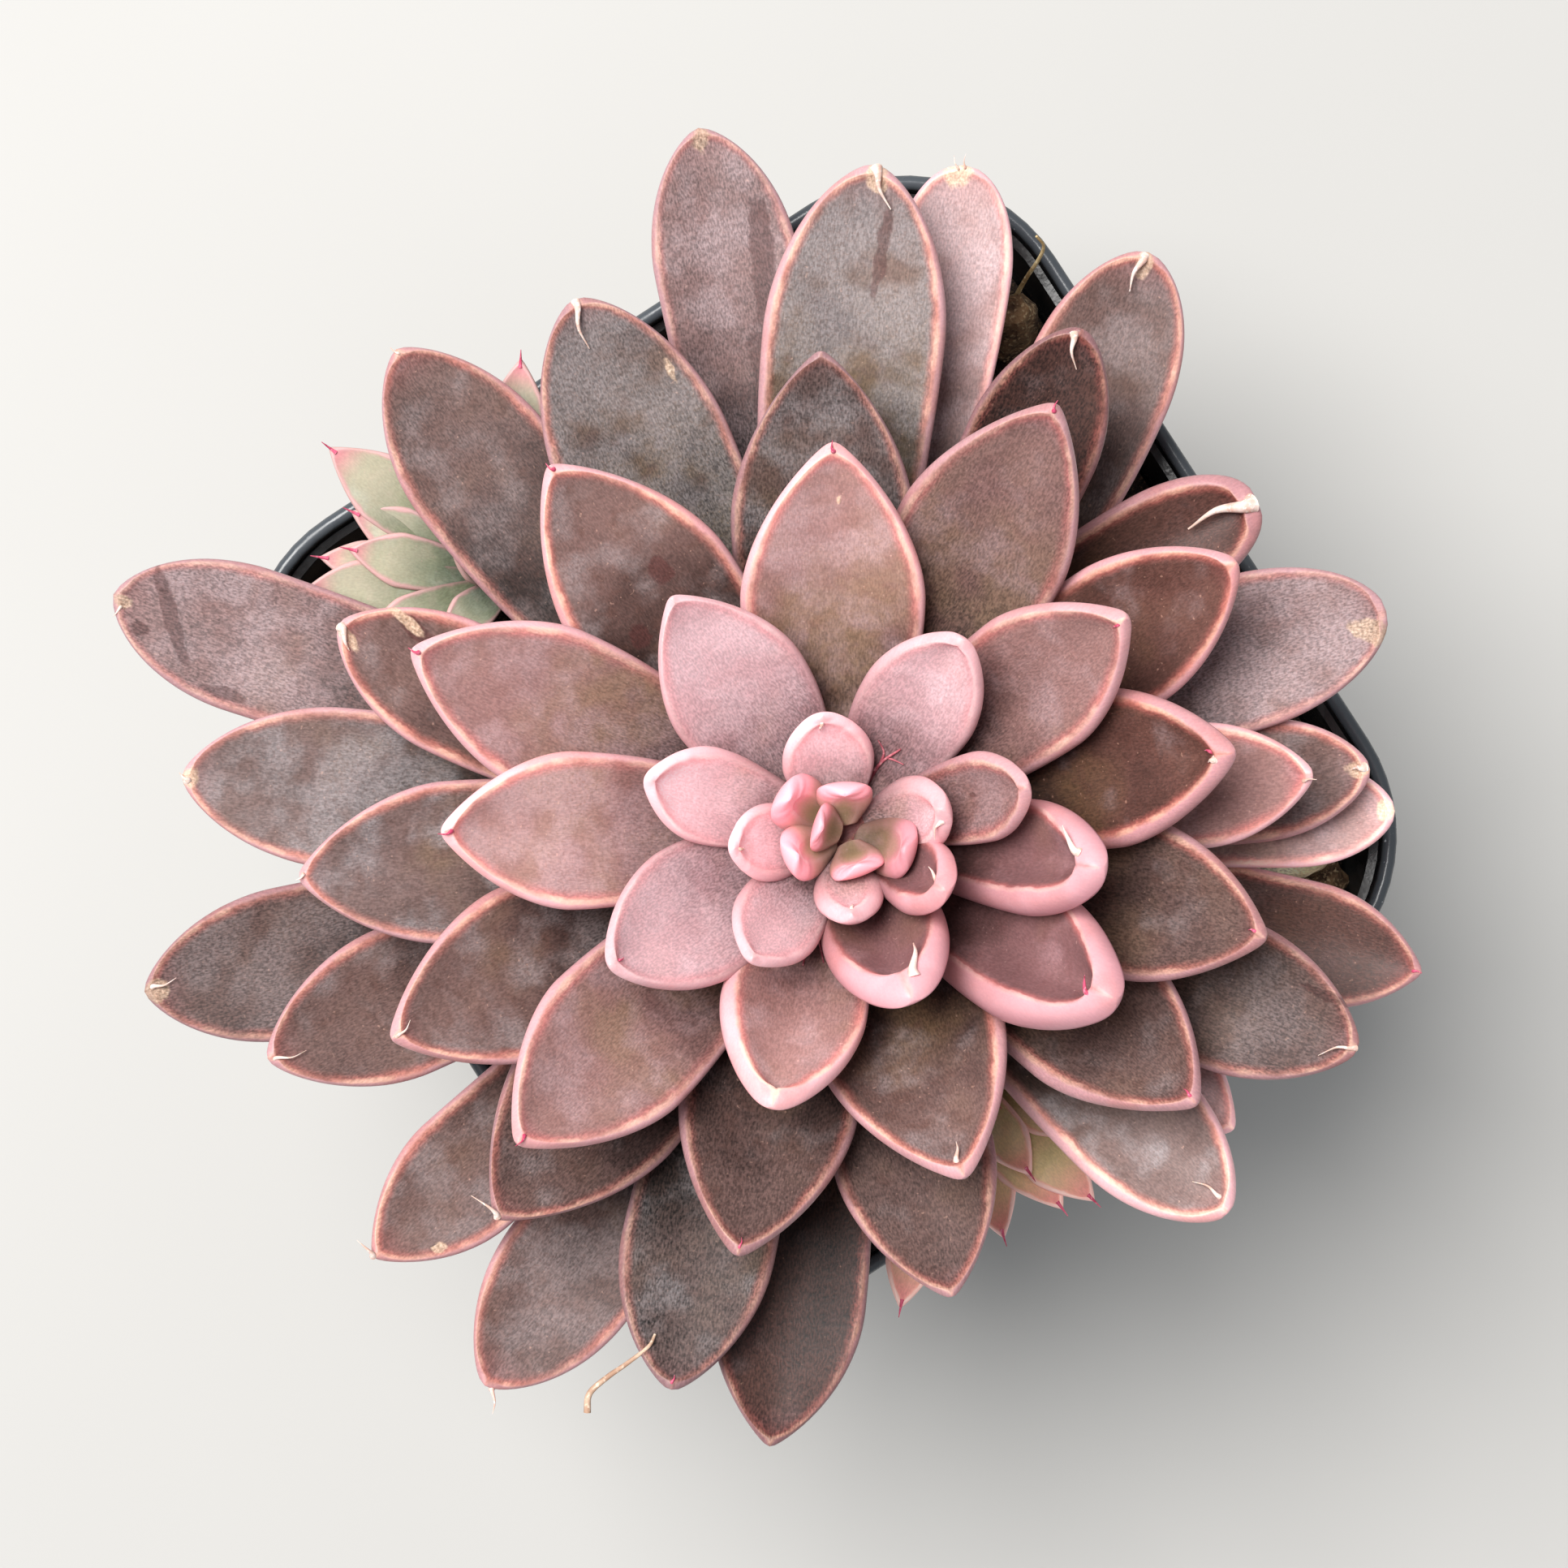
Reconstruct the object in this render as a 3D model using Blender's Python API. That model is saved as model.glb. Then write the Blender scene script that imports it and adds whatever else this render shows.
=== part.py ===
"""Potted echeveria: a rosette and two offsets rooted in a square nursery pot.

The origin is the middle of the pot's underside, the pot's sides run along X and Y, and +Z is up.
"""

from math import cos, pi, radians, sin

import bmesh
import bpy
from mathutils import Vector

MM = 0.001
GAP = 0.3 * MM

# Pot
POT_HEIGHT = 105 * MM
RIM_HALF = 63 * MM
RIM_CORNER = 24 * MM
RIM_LIP_WIDTH = 1.6 * MM
RIM_LIP_DEPTH = 7 * MM
BASE_HALF = 44 * MM
BASE_CORNER = 15 * MM
WALL = 1.2 * MM
FLOOR = 2 * MM
DRAIN_RADIUS = 4.5 * MM
DRAIN_OFFSET = 26 * MM
EDGE_SOFTENING = 0.7 * MM
CORNER_POINTS = 6

# Soil, heaped a little round the stem
SOIL_TOP = 96 * MM
SOIL_MOUND = 2.5 * MM
SOIL_SLOPE_HALF = 36 * MM
SOIL_CROWN_HALF = 15 * MM

# Main stem, which leans from its foot to its crown
FOOT = Vector((-6.2 * MM, -7.1 * MM, 110 * MM))
CROWN = Vector((-3.6 * MM, -10.3 * MM, 147 * MM))
STEM_BOTTOM = 66 * MM
STEM_THICK = 9.5 * MM
STEM_THIN = 1.2 * MM
STEM_SIDES = 12

# Leaves: each new one stands this far round from the last
FIRST_LEAF = 135.0
GOLDEN_STEP = 137.8
OLDEST = 63
# Mean rise above level and upward bend in degrees, of the oldest leaf and what the heart adds
OLD_RISE = 9.0
HEART_RISE = 52.0
OLD_BEND = 12.0
HEART_BEND = 30.0
# Leaves on this side stand up more, and those across from it less: the mean and the swing of the
# extra rise in degrees, which fades out at the heart over this share of the age
STEEP_SIDE = 282.0
STEEP_MEAN = 3.5
STEEP_SWING = 7.5
STEEP_FADE = 0.14
# A leaf's root reaches into the stem past this share of its radius
ROOT_DEPTH = 0.45

# Leaf number from the heart outward, swing off the rule in degrees, reach from the stem's axis to
# the tip in mm, width in mm
ROSETTE_LEAVES = (
    (0, -4, 2.4, 4.0), (1, -16, 3.7, 4.6), (2, 8, 4.6, 5.6), (3, -18, 6.1, 6.2),
    (4, -14, 6.9, 7.0), (5, 10, 7.8, 7.6), (6, 0, 9.5, 8.6), (7, -28, 11.9, 9.6),
    (8, -3, 13.3, 9.6), (9, 3, 13.7, 9.6), (10, -6, 14.4, 11.4), (11, -10, 18.2, 11.4),
    (12, -7, 22.2, 11.0), (13, 5, 24.0, 12.0), (14, -4, 21.2, 15.4), (15, -17, 27.1, 14.8),
    (16, -3, 31.3, 17.6), (17, 2, 30.7, 14.0), (18, -3, 34.3, 18.2), (19, -10, 33.0, 18.0),
    (20, -7, 41.8, 18.4), (21, -2, 46.6, 19.4), (22, 10, 37.8, 17.2), (23, -7, 46.2, 22.8),
    (24, -11, 52.0, 21.2), (25, -2, 47.5, 19.4), (26, 6, 55.0, 20.8), (27, 2, 43.4, 23.4),
    (28, -4, 57.2, 22.2), (29, 1, 58.2, 21.8), (30, 4, 52.4, 19.8), (31, 8, 56.2, 22.6),
    (32, 0, 52.0, 22.2), (33, -2, 58.3, 19.0), (34, 12, 64.8, 20.2), (35, 12, 54.7, 20.8),
    (36, 2, 58.9, 23.2), (37, 3, 62.1, 23.0), (38, 2, 59.0, 15.6), (39, 15, 66.0, 17.6),
    (40, 5, 58.7, 20.2), (41, 5, 69.4, 17.0), (42, 7, 74.6, 19.4), (43, 4, 69.5, 19.2),
    (44, 4, 73.5, 23.2), (45, 6, 71.5, 19.4), (46, -6, 74.2, 19.6), (47, 11, 81.0, 20.6),
    (48, 14, 68.6, 17.6), (49, 5, 83.9, 23.4), (50, 6, 77.9, 16.8), (51, 10, 68.8, 15.8),
    (52, -2, 82.0, 20.4), (53, -6, 77.4, 19.6), (54, -13, 69.6, 15.6), (55, 7, 88.6, 19.8),
    (56, -1, 64.7, 16.0), (57, -3, 91.1, 19.0), (58, -1, 82.7, 19.2), (59, -18, 73.0, 16.0),
    (60, 6, 95.8, 19.4), (62, -12, 85.7, 19.6), (64, -1, 78.7, 16.0), (70, -17, 87.6, 16.2),
)
# Sideways curl in degrees of the leaves that don't grow straight out
LEAF_CURL = {
    22: -12, 25: 11, 30: 7, 35: 12, 39: 18, 41: -12, 44: 5, 45: -12, 46: 12, 49: 6, 50: 8, 52: 16,
    53: 9, 54: 24, 55: 8, 57: -6, 58: 18, 60: 2, 62: -25, 70: -14,
}

# Offsets: direction in degrees, rise in degrees, length in mm, width in mm
OFFSET_BACK_FOOT = Vector((-23 * MM, 42 * MM, 0))
OFFSET_BACK_LEAVES = (
    (110, 22, 31, 9.4), (123, 22, 24, 7.4), (136, 24, 23, 7.4), (140, 17, 26, 6.2), (150, 20, 28, 7.4),
    (170, 24, 22, 7.0), (82, 24, 26, 7.6), (66, 19, 23, 8.0), (52, 21, 31, 7.6), (190, 38, 14, 6.0),
    (115, 48, 12, 5.6), (40, 50, 10, 5.0),
)
OFFSET_FRONT_FOOT = Vector((-8 * MM, -44.5 * MM, 0))
OFFSET_FRONT_LEAVES = (
    (253, 24, 26, 7.2), (274, 24, 26, 9.0), (283, 24, 28, 8.0), (224, 22, 35, 6.6), (300, 26, 22, 7.2),
    (240, 28, 20, 7.0), (272, 35, 21, 6.4), (322, 32, 16, 6.0), (200, 34, 14, 5.6), (285, 52, 12, 5.6),
    (345, 50, 10, 5.0),
)
OFFSET_STEM = 3.0 * MM
OFFSET_STEM_BOTTOM = 84 * MM
OFFSET_LEAF_BASE = 103.5 * MM
OFFSET_LEAF_STEP = 0.25 * MM
OFFSET_BEND = -8.0
OFFSET_CUP = 0.12
OFFSET_THICKNESS = 0.3
OFFSET_POINT = 1.4

# Dry things on the soil
STALK_FOOT = Vector((53 * MM, 34.5 * MM, 0))
STALK_RADIUS = 3.2 * MM
STALK_TOP = 107 * MM
STALK_BOTTOM = 88 * MM
STALK_LEAN = Vector((0.9 * MM, 1 * MM, 0))
STALK_SPLIT = 1.6 * MM
FALLEN_LEAF_FOOT = Vector((38 * MM, -39 * MM, 99 * MM))
FALLEN_LEAF_LENGTH = 17 * MM
FALLEN_LEAF_WIDTH = 9 * MM
FALLEN_LEAF_THICKNESS = 2 * MM

# Leaf shape: the pointed end is this many leaf widths long, and the foot this share of the width
POINT_LENGTH = 0.95
FOOT_WIDTH = 0.4
MARGIN = 1.1 * MM
# The underside's corners, in half widths out and thicknesses down
EDGE_OUT = 0.95
CHEEK_OUT = 0.52
CHEEK_DOWN = 0.74
# Where a leaf's sections stand along it
ALONG = (0, 0.22, 0.42, 0.57, 0.71, 0.84, 0.94)
ALONG_SMALL = (0, 0.3, 0.58, 0.8, 0.94)


def clear_scene():
    for item in list(bpy.data.objects):
        bpy.data.objects.remove(item)


def material(name, colour, roughness, metallic=0.0):
    made = bpy.data.materials.new(name)
    made.use_nodes = True
    shader = made.node_tree.nodes["Principled BSDF"]
    shader.inputs["Base Color"].default_value = (*colour, 1)
    shader.inputs["Roughness"].default_value = roughness
    shader.inputs["Metallic"].default_value = metallic
    return made


def shade(mesh):
    mesh.shade_smooth()
    mesh.set_sharp_from_angle(angle=radians(40))


def loft(name, rings, finish, tip=None):
    """An object skinned over rings of points, closed by flat ends, or by a point at its far end."""
    mesh = bpy.data.meshes.new(name)
    form = bmesh.new()
    loops = [[form.verts.new(point) for point in ring] for ring in rings]
    count = len(loops[0])
    for near, far in zip(loops, loops[1:]):
        for i in range(count):
            j = (i + 1) % count
            form.faces.new((near[i], near[j], far[j]))
            form.faces.new((near[i], far[j], far[i]))
    form.faces.new(list(reversed(loops[0])))
    if tip is None:
        form.faces.new(loops[-1])
    else:
        point = form.verts.new(tip)
        for i in range(count):
            form.faces.new((loops[-1][i], loops[-1][(i + 1) % count], point))
    bmesh.ops.recalc_face_normals(form, faces=form.faces)
    form.to_mesh(mesh)
    form.free()
    shade(mesh)
    made = bpy.data.objects.new(name, mesh)
    bpy.context.scene.collection.objects.link(made)
    made.data.materials.append(finish)
    return made


def boolean(target, operation, pieces):
    """Cuts or joins a collection of pieces with the target, for good, and removes them."""
    group = bpy.data.collections.new("pieces")
    bpy.context.scene.collection.children.link(group)
    for piece in pieces:
        group.objects.link(piece)
    step = target.modifiers.new("pieces", "BOOLEAN")
    step.operation = operation
    step.operand_type = "COLLECTION"
    step.collection = group
    step.solver = "EXACT"
    bpy.context.view_layer.update()
    evaluated = target.evaluated_get(bpy.context.evaluated_depsgraph_get())
    whole = bpy.data.meshes.new_from_object(evaluated)
    target.modifiers.clear()
    target.data = whole
    for piece in list(pieces):
        bpy.data.objects.remove(piece)
    bpy.data.collections.remove(group)


def keep_largest_body(target):
    """Drops loose scraps and the walls of sealed hollows, and welds what lies closer than a micron."""
    form = bmesh.new()
    form.from_mesh(target.data)
    bmesh.ops.remove_doubles(form, verts=form.verts, dist=0.001 * MM)
    bmesh.ops.triangulate(form, faces=form.faces)
    bmesh.ops.dissolve_degenerate(form, edges=form.edges, dist=0.001 * MM)
    bmesh.ops.triangulate(form, faces=form.faces)
    left = set(form.verts)
    bodies = []
    while left:
        body = set()
        queue = [left.pop()]
        while queue:
            vert = queue.pop()
            body.add(vert)
            for edge in vert.link_edges:
                other = edge.other_vert(vert)
                if other in left:
                    left.remove(other)
                    queue.append(other)
        bodies.append(body)
    largest = max(bodies, key=len)
    scraps = [vert for vert in form.verts if vert not in largest]
    bmesh.ops.delete(form, geom=scraps, context="VERTS")
    form.to_mesh(target.data)
    form.free()
    shade(target.data)


def rounded_square(half, corner, height):
    """Points round a square with rounded corners, anticlockwise."""
    points = []
    for quarter in range(4):
        middle = pi / 4 + quarter * pi / 2
        centre = (half - corner) * 2 ** 0.5
        for step in range(CORNER_POINTS):
            turn = middle + pi / 2 * (step / (CORNER_POINTS - 1) - 0.5)
            x = centre * cos(middle) + corner * cos(turn)
            y = centre * sin(middle) + corner * sin(turn)
            points.append((x, y, height))
    return points


def circle(centre, radius, height, sides):
    return [
        (centre.x + radius * cos(2 * pi * i / sides), centre.y + radius * sin(2 * pi * i / sides), height)
        for i in range(sides)
    ]


def pot_outside(height):
    """Half width and corner radius of the tapered wall's outside at a height."""
    part = height / POT_HEIGHT
    top_half = RIM_HALF - RIM_LIP_WIDTH
    top_corner = RIM_CORNER - RIM_LIP_WIDTH
    return BASE_HALF + (top_half - BASE_HALF) * part, BASE_CORNER + (top_corner - BASE_CORNER) * part


def wall_ring(height, inset):
    half, corner = pot_outside(height)
    return rounded_square(half - inset, corner - inset, height)


def build_pot(finish):
    lip_bottom = POT_HEIGHT - RIM_LIP_DEPTH
    soft = EDGE_SOFTENING
    rings = [
        wall_ring(0, soft),
        wall_ring(soft, 0),
        wall_ring(lip_bottom, 0),
        rounded_square(RIM_HALF - soft, RIM_CORNER - soft, lip_bottom),
        rounded_square(RIM_HALF, RIM_CORNER, lip_bottom + soft),
        rounded_square(RIM_HALF, RIM_CORNER, POT_HEIGHT - soft),
        rounded_square(RIM_HALF - soft, RIM_CORNER - soft, POT_HEIGHT),
        wall_ring(POT_HEIGHT, WALL - soft),
        wall_ring(POT_HEIGHT - soft, WALL),
        wall_ring(FLOOR, WALL),
    ]
    pot = loft("pot", rings, finish)
    holes = []
    for side_x in (-1, 1):
        for side_y in (-1, 1):
            centre = Vector((side_x * DRAIN_OFFSET, side_y * DRAIN_OFFSET, 0))
            ends = [circle(centre, DRAIN_RADIUS, height, 12) for height in (-FLOOR, 2 * FLOOR)]
            holes.append(loft("drain_cutter", ends, finish))
    boolean(pot, "DIFFERENCE", holes)
    keep_largest_body(pot)
    return pot


def build_soil(finish):
    """The potting mix: a plug 0.3 mm clear of the pot, with a plain hole round each stem."""
    side = WALL + GAP
    rings = [
        wall_ring(FLOOR + GAP, side),
        wall_ring(SOIL_TOP, side),
        rounded_square(SOIL_SLOPE_HALF, 0.8 * SOIL_SLOPE_HALF, SOIL_TOP + 0.6 * SOIL_MOUND),
        rounded_square(SOIL_CROWN_HALF, 0.8 * SOIL_CROWN_HALF, SOIL_TOP + SOIL_MOUND),
    ]
    soil = loft("soil", rings, finish)
    top = SOIL_TOP + 4 * SOIL_MOUND
    holes = []
    for centre, radius, bottom, sides in (
        (FOOT, stem_radius(OLDEST) + GAP, STEM_BOTTOM, STEM_SIDES),
        (OFFSET_BACK_FOOT, OFFSET_STEM + GAP, OFFSET_STEM_BOTTOM, 8),
        (OFFSET_FRONT_FOOT, OFFSET_STEM + GAP, OFFSET_STEM_BOTTOM, 8),
        (STALK_FOOT, STALK_RADIUS + GAP, STALK_BOTTOM, 8),
    ):
        wide = radius / cos(pi / sides)
        ends = [circle(centre, wide, height, sides) for height in (bottom - GAP, top)]
        holes.append(loft("hole_cutter", ends, finish))
    boolean(soil, "DIFFERENCE", holes)
    keep_largest_body(soil)
    return soil


def age(number):
    """0 at the heart and 1 at the oldest leaves."""
    return min(1.0, number / OLDEST)


def stem_radius(number):
    return STEM_THIN + (STEM_THICK - STEM_THIN) * age(number) ** 0.6


def stem_point(number):
    return CROWN.lerp(FOOT, age(number))


def leaf_width(part, peak, point):
    """Width along a leaf, 1 at its widest: a narrow foot, a broad middle and a pointed tip."""
    if part < peak:
        return FOOT_WIDTH + (1 - FOOT_WIDTH) * sin(pi / 2 * part / peak) ** 1.2
    return 1 - ((part - peak) / (1 - peak)) ** point


def leaf_thickness(part):
    """Thickness along a leaf: fullest a third of the way out, and thin at its tip."""
    return 0.8 + 0.2 * sin(pi * min(1, part / 0.6)) - 0.62 * max(0, part - 0.3) ** 1.2


def leaf(name, start, direction, rise, bend, curl, length, width, thickness, cup, point, along, finish):
    """A thick pointed leaf with a hollowed upper face, a square margin and a keeled underside.

    It leaves its start towards the direction, with this mean rise, turns up by the bend and
    sideways by the curl.
    """
    steps = 40
    path = [start.copy()]
    for step in range(steps):
        ahead = (step + 0.5) / steps - 0.5
        angle = rise + bend * ahead
        turn = direction - curl * ahead
        stride = Vector((cos(turn) * cos(angle), sin(turn) * cos(angle), sin(angle)))
        path.append(path[-1] + stride * length / steps)
    rings = []
    margin = min(MARGIN, 0.35 * thickness)
    peak = 1 - min(0.55, POINT_LENGTH * width / length)
    for part in along:
        angle = rise + bend * (part - 0.5)
        turn = direction - curl * (part - 0.5)
        out = Vector((cos(turn), sin(turn), 0))
        side = Vector((-sin(turn), cos(turn), 0))
        up = Vector((0, 0, cos(angle))) - out * sin(angle)
        centre = path[round(part * steps)]
        half = width / 2 * leaf_width(part, peak, point)
        deep = thickness * leaf_thickness(part) * (0.55 + 0.45 * min(1, half / (0.3 * width)))
        brim = cup * half
        edge = (EDGE_OUT * half, brim - margin)
        cheek = (CHEEK_OUT * half, -CHEEK_DOWN * deep)
        section = (
            (-half, brim), (0, 0), (half, brim), edge, cheek, (0, -deep),
            (-cheek[0], cheek[1]), (-edge[0], edge[1]),
        )
        rings.append([centre + side * x + up * y for x, y in section])
    return loft(name, rings, finish, tip=path[-1])


def rosette_leaf(number, swing, reach, width, finish):
    """One leaf of the main head, placed by its number in the spiral."""
    inner = 1 - age(number)
    curl = radians(LEAF_CURL.get(number, 0))
    turn = FIRST_LEAF + number * GOLDEN_STEP + swing
    lean = STEEP_MEAN + STEEP_SWING * cos(radians(turn - STEEP_SIDE))
    lean *= min(1, age(number) / STEEP_FADE)
    rise = radians(OLD_RISE + HEART_RISE * inner ** 2 + lean)
    bend = radians(OLD_BEND + HEART_BEND * inner ** 1.3)
    root = ROOT_DEPTH * stem_radius(number)
    steps = 20
    spread = sum(cos(rise + bend * ((i + 0.5) / steps - 0.5)) for i in range(steps)) / steps
    length = (reach * MM - root) / spread
    direction = radians(turn)
    start = stem_point(number) + root * Vector((cos(direction), sin(direction), 0))
    point = 1.7 + 2 * max(0, inner - 0.7) + 0.7 * max(0, 0.6 - inner)
    return leaf(
        "leaf", start, direction, rise, bend, curl, length, width * MM, (0.6 + 0.2 * width) * MM,
        0.1 + 0.12 * inner, point, ALONG_SMALL if width < 9 else ALONG, finish,
    )


def build_rosette(finish):
    """The main head: a leaning stem with every leaf grown from it, as one body."""
    rings = [circle(Vector((FOOT.x, FOOT.y, 0)), stem_radius(OLDEST), STEM_BOTTOM, STEM_SIDES)]
    for number in (63, 42, 24, 10, 0):
        centre = stem_point(number)
        rings.append(circle(centre, stem_radius(number), centre.z, STEM_SIDES))
    rosette = loft("rosette", rings, finish)
    leaves = [rosette_leaf(*row, finish) for row in ROSETTE_LEAVES]
    boolean(rosette, "UNION", leaves)
    keep_largest_body(rosette)
    return rosette


def build_offset(name, foot, rows, finish):
    """A young head beside the main one: a short stem with a spray of small pointed leaves."""
    rings = [
        circle(foot, OFFSET_STEM, OFFSET_STEM_BOTTOM, 8),
        circle(foot, OFFSET_STEM, OFFSET_LEAF_BASE, 8),
        circle(foot, 0.5 * OFFSET_STEM, OFFSET_LEAF_BASE + OFFSET_STEM, 8),
    ]
    head = loft(name, rings, finish)
    leaves = []
    for place, (turn, rise, length, width) in enumerate(rows):
        start = foot + Vector((0, 0, OFFSET_LEAF_BASE + OFFSET_LEAF_STEP * place))
        leaves.append(leaf(
            "leaf", start, radians(turn), radians(rise), radians(OFFSET_BEND), 0, length * MM, width * MM,
            OFFSET_THICKNESS * width * MM, OFFSET_CUP, OFFSET_POINT, ALONG_SMALL, finish,
        ))
    boolean(head, "UNION", leaves)
    keep_largest_body(head)
    return head


def build_dry_stalk(finish):
    """The ragged stump of an old flower stalk, brown and split at its top."""
    head = STALK_FOOT + STALK_LEAN
    rings = [
        circle(STALK_FOOT, STALK_RADIUS, STALK_BOTTOM, 8),
        circle(STALK_FOOT, STALK_RADIUS, SOIL_TOP + 4 * MM, 8),
        circle(STALK_FOOT + 0.6 * STALK_LEAN, 1.2 * STALK_RADIUS, STALK_TOP - 3 * MM, 8),
    ]
    top = circle(head, 0.7 * STALK_RADIUS, STALK_TOP, 8)
    rings.append([(x, y, z - (i % 2) * STALK_SPLIT) for i, (x, y, z) in enumerate(top)])
    return loft("dry_stalk", rings, finish, tip=head + Vector((0, 0, STALK_TOP - 1.2 * STALK_SPLIT)))


def build_fallen_leaf(finish):
    """A shrivelled pale leaf that lies on the mix in the pot's corner."""
    return leaf(
        "fallen_leaf", FALLEN_LEAF_FOOT, radians(-42), radians(6), radians(20), 0, FALLEN_LEAF_LENGTH,
        FALLEN_LEAF_WIDTH, FALLEN_LEAF_THICKNESS, 0.2, 2, ALONG_SMALL, finish,
    )


def build():
    clear_scene()
    plastic = material("black_plastic", (0.012, 0.013, 0.014), 0.32)
    mix = material("potting_mix", (0.055, 0.035, 0.022), 0.95)
    flesh = material("dusky_leaf", (0.36, 0.2, 0.19), 0.5)
    young = material("young_leaf", (0.38, 0.4, 0.26), 0.5)
    dry = material("dry_brown", (0.2, 0.11, 0.06), 0.9)
    pale = material("dry_pale", (0.6, 0.5, 0.35), 0.85)
    build_pot(plastic)
    build_soil(mix)
    build_rosette(flesh)
    build_offset("offset_back", OFFSET_BACK_FOOT, OFFSET_BACK_LEAVES, young)
    build_offset("offset_front", OFFSET_FRONT_FOOT, OFFSET_FRONT_LEAVES, young)
    build_dry_stalk(dry)
    build_fallen_leaf(pale)


build()
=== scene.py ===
from math import cos, pi, radians, sin, sqrt

import bmesh
import bpy
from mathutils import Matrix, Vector, noise
from mathutils.bvhtree import BVHTree


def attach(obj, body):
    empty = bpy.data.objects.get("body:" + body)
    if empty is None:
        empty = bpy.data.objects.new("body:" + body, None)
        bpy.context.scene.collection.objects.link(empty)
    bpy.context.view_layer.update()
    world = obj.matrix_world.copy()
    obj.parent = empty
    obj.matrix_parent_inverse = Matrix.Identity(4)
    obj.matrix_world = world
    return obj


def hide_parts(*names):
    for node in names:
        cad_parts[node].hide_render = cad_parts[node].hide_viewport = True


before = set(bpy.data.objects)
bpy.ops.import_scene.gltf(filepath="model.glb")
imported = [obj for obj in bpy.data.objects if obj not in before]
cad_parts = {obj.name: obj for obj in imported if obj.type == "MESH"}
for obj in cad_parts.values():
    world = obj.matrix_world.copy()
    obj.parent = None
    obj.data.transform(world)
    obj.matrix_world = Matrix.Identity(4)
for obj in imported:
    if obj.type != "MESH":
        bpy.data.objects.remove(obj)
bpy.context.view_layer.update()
mm = 0.001
print("frame loaded:", len(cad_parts), "nodes")


# Node trees: a Field is a socket that ordinary signs work on, so that a formula reads as one

class Field:
    def __init__(self, tree, socket):
        self.tree = tree
        self.socket = socket

    def calc(self, operation, *others):
        node = self.tree.nodes.new("ShaderNodeMath")
        node.operation = operation
        for place, value in enumerate((self, *others)):
            feed(node.inputs[place], value)
        return Field(self.tree, node.outputs[0])

    def __add__(self, other):
        return self.calc("ADD", other)

    def __sub__(self, other):
        return self.calc("SUBTRACT", other)

    def __rsub__(self, other):
        return self.calc("MULTIPLY_ADD", -1.0, other)

    def __mul__(self, other):
        return self.calc("MULTIPLY", other)

    def __truediv__(self, other):
        return self.calc("DIVIDE", other)

    def __pow__(self, other):
        return self.calc("POWER", other)

    __radd__ = __add__
    __rmul__ = __mul__

    def held(self):
        # kept between 0 and 1
        return self.calc("MAXIMUM", 0.0).calc("MINIMUM", 1.0)

    def ramp(self, low, high):
        # 0 at low and 1 at high, with soft ends; low may be the larger
        node = addNode(self.tree, "ShaderNodeMapRange", {"interpolation_type": "SMOOTHSTEP"}, {
            "Value": self, "From Min": low, "From Max": high})
        return Field(self.tree, node.outputs["Result"])


def feed(socket, value):
    if isinstance(value, Field):
        value.tree.links.new(value.socket, socket)
    elif value is not None:
        socket.default_value = value


def addNode(tree, kind, settings, inputs):
    node = tree.nodes.new(kind)
    for name, value in settings.items():
        setattr(node, name, value)
    for label, value in inputs.items():
        feed(node.inputs[label], value)
    return node


def fieldOf(node, output=0):
    return Field(node.id_data, node.outputs[output])


def objectPlace(tree):
    return fieldOf(tree.nodes.new("ShaderNodeTexCoord"), "Object")


def vectorOf(operation, first, second=None, scale=None):
    node = first.tree.nodes.new("ShaderNodeVectorMath")
    node.operation = operation
    feed(node.inputs[0], first)
    feed(node.inputs[1], second)
    if scale is not None:
        feed(node.inputs["Scale"], scale)
    return fieldOf(node, "Vector")


def splitVector(vector):
    node = addNode(vector.tree, "ShaderNodeSeparateXYZ", {}, {"Vector": vector})
    return [fieldOf(node, axis) for axis in "XYZ"]


def joinVector(x, y, z):
    node = addNode(x.tree, "ShaderNodeCombineXYZ", {}, {"X": x, "Y": y, "Z": z})
    return fieldOf(node, "Vector")


def mixColour(amount, first, second):
    node = amount.tree.nodes.new("ShaderNodeMix")
    node.data_type = "RGBA"
    feed(node.inputs[0], amount)
    feed(node.inputs[6], first)
    feed(node.inputs[7], second)
    return fieldOf(node, 2)


def startTree(name, kind, inputs, outputs):
    # Each socket comes with the value that it starts at, or with its kind alone
    kinds = {float: "Float", int: "Int", tuple: "Vector"}
    tree = bpy.data.node_groups.new(name, kind)
    for side, sockets in (("INPUT", inputs), ("OUTPUT", outputs)):
        for label, start in sockets.items():
            bare = isinstance(start, str)
            socketKind = "NodeSocket" + (start if bare else kinds[type(start)])
            socket = tree.interface.new_socket(label, in_out=side, socket_type=socketKind)
            if not bare:
                socket.default_value = start
    source = tree.nodes.new("NodeGroupInput")
    given = {label: fieldOf(source, label) for label in inputs}
    return tree, given, tree.nodes.new("NodeGroupOutput")


def stored(mesh, values, vectors=()):
    # Keeps values on the points of a mesh, under the names that the skins read
    for name, value in values.items():
        settings = {"data_type": "FLOAT_VECTOR" if name in vectors else "FLOAT", "domain": "POINT"}
        mesh = fieldOf(addNode(mesh.tree, "GeometryNodeStoreNamedAttribute", settings, {
            "Geometry": mesh, "Name": name, "Value": value}))
    return mesh


def closeTree(end, mesh, skin, smooth=True):
    # Every form ends alike: its shading, real geometry and its skin
    for kind, inputs in (
        ("GeometryNodeSetShadeSmooth", {"Shade Smooth": smooth}),
        ("GeometryNodeRealizeInstances", {}),
        ("GeometryNodeSetMaterial", {"Material": skin}),
    ):
        mesh = fieldOf(addNode(mesh.tree, kind, {}, {"Geometry": mesh, **inputs}))
    feed(end.inputs[0], mesh)
    return mesh.tree


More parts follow.
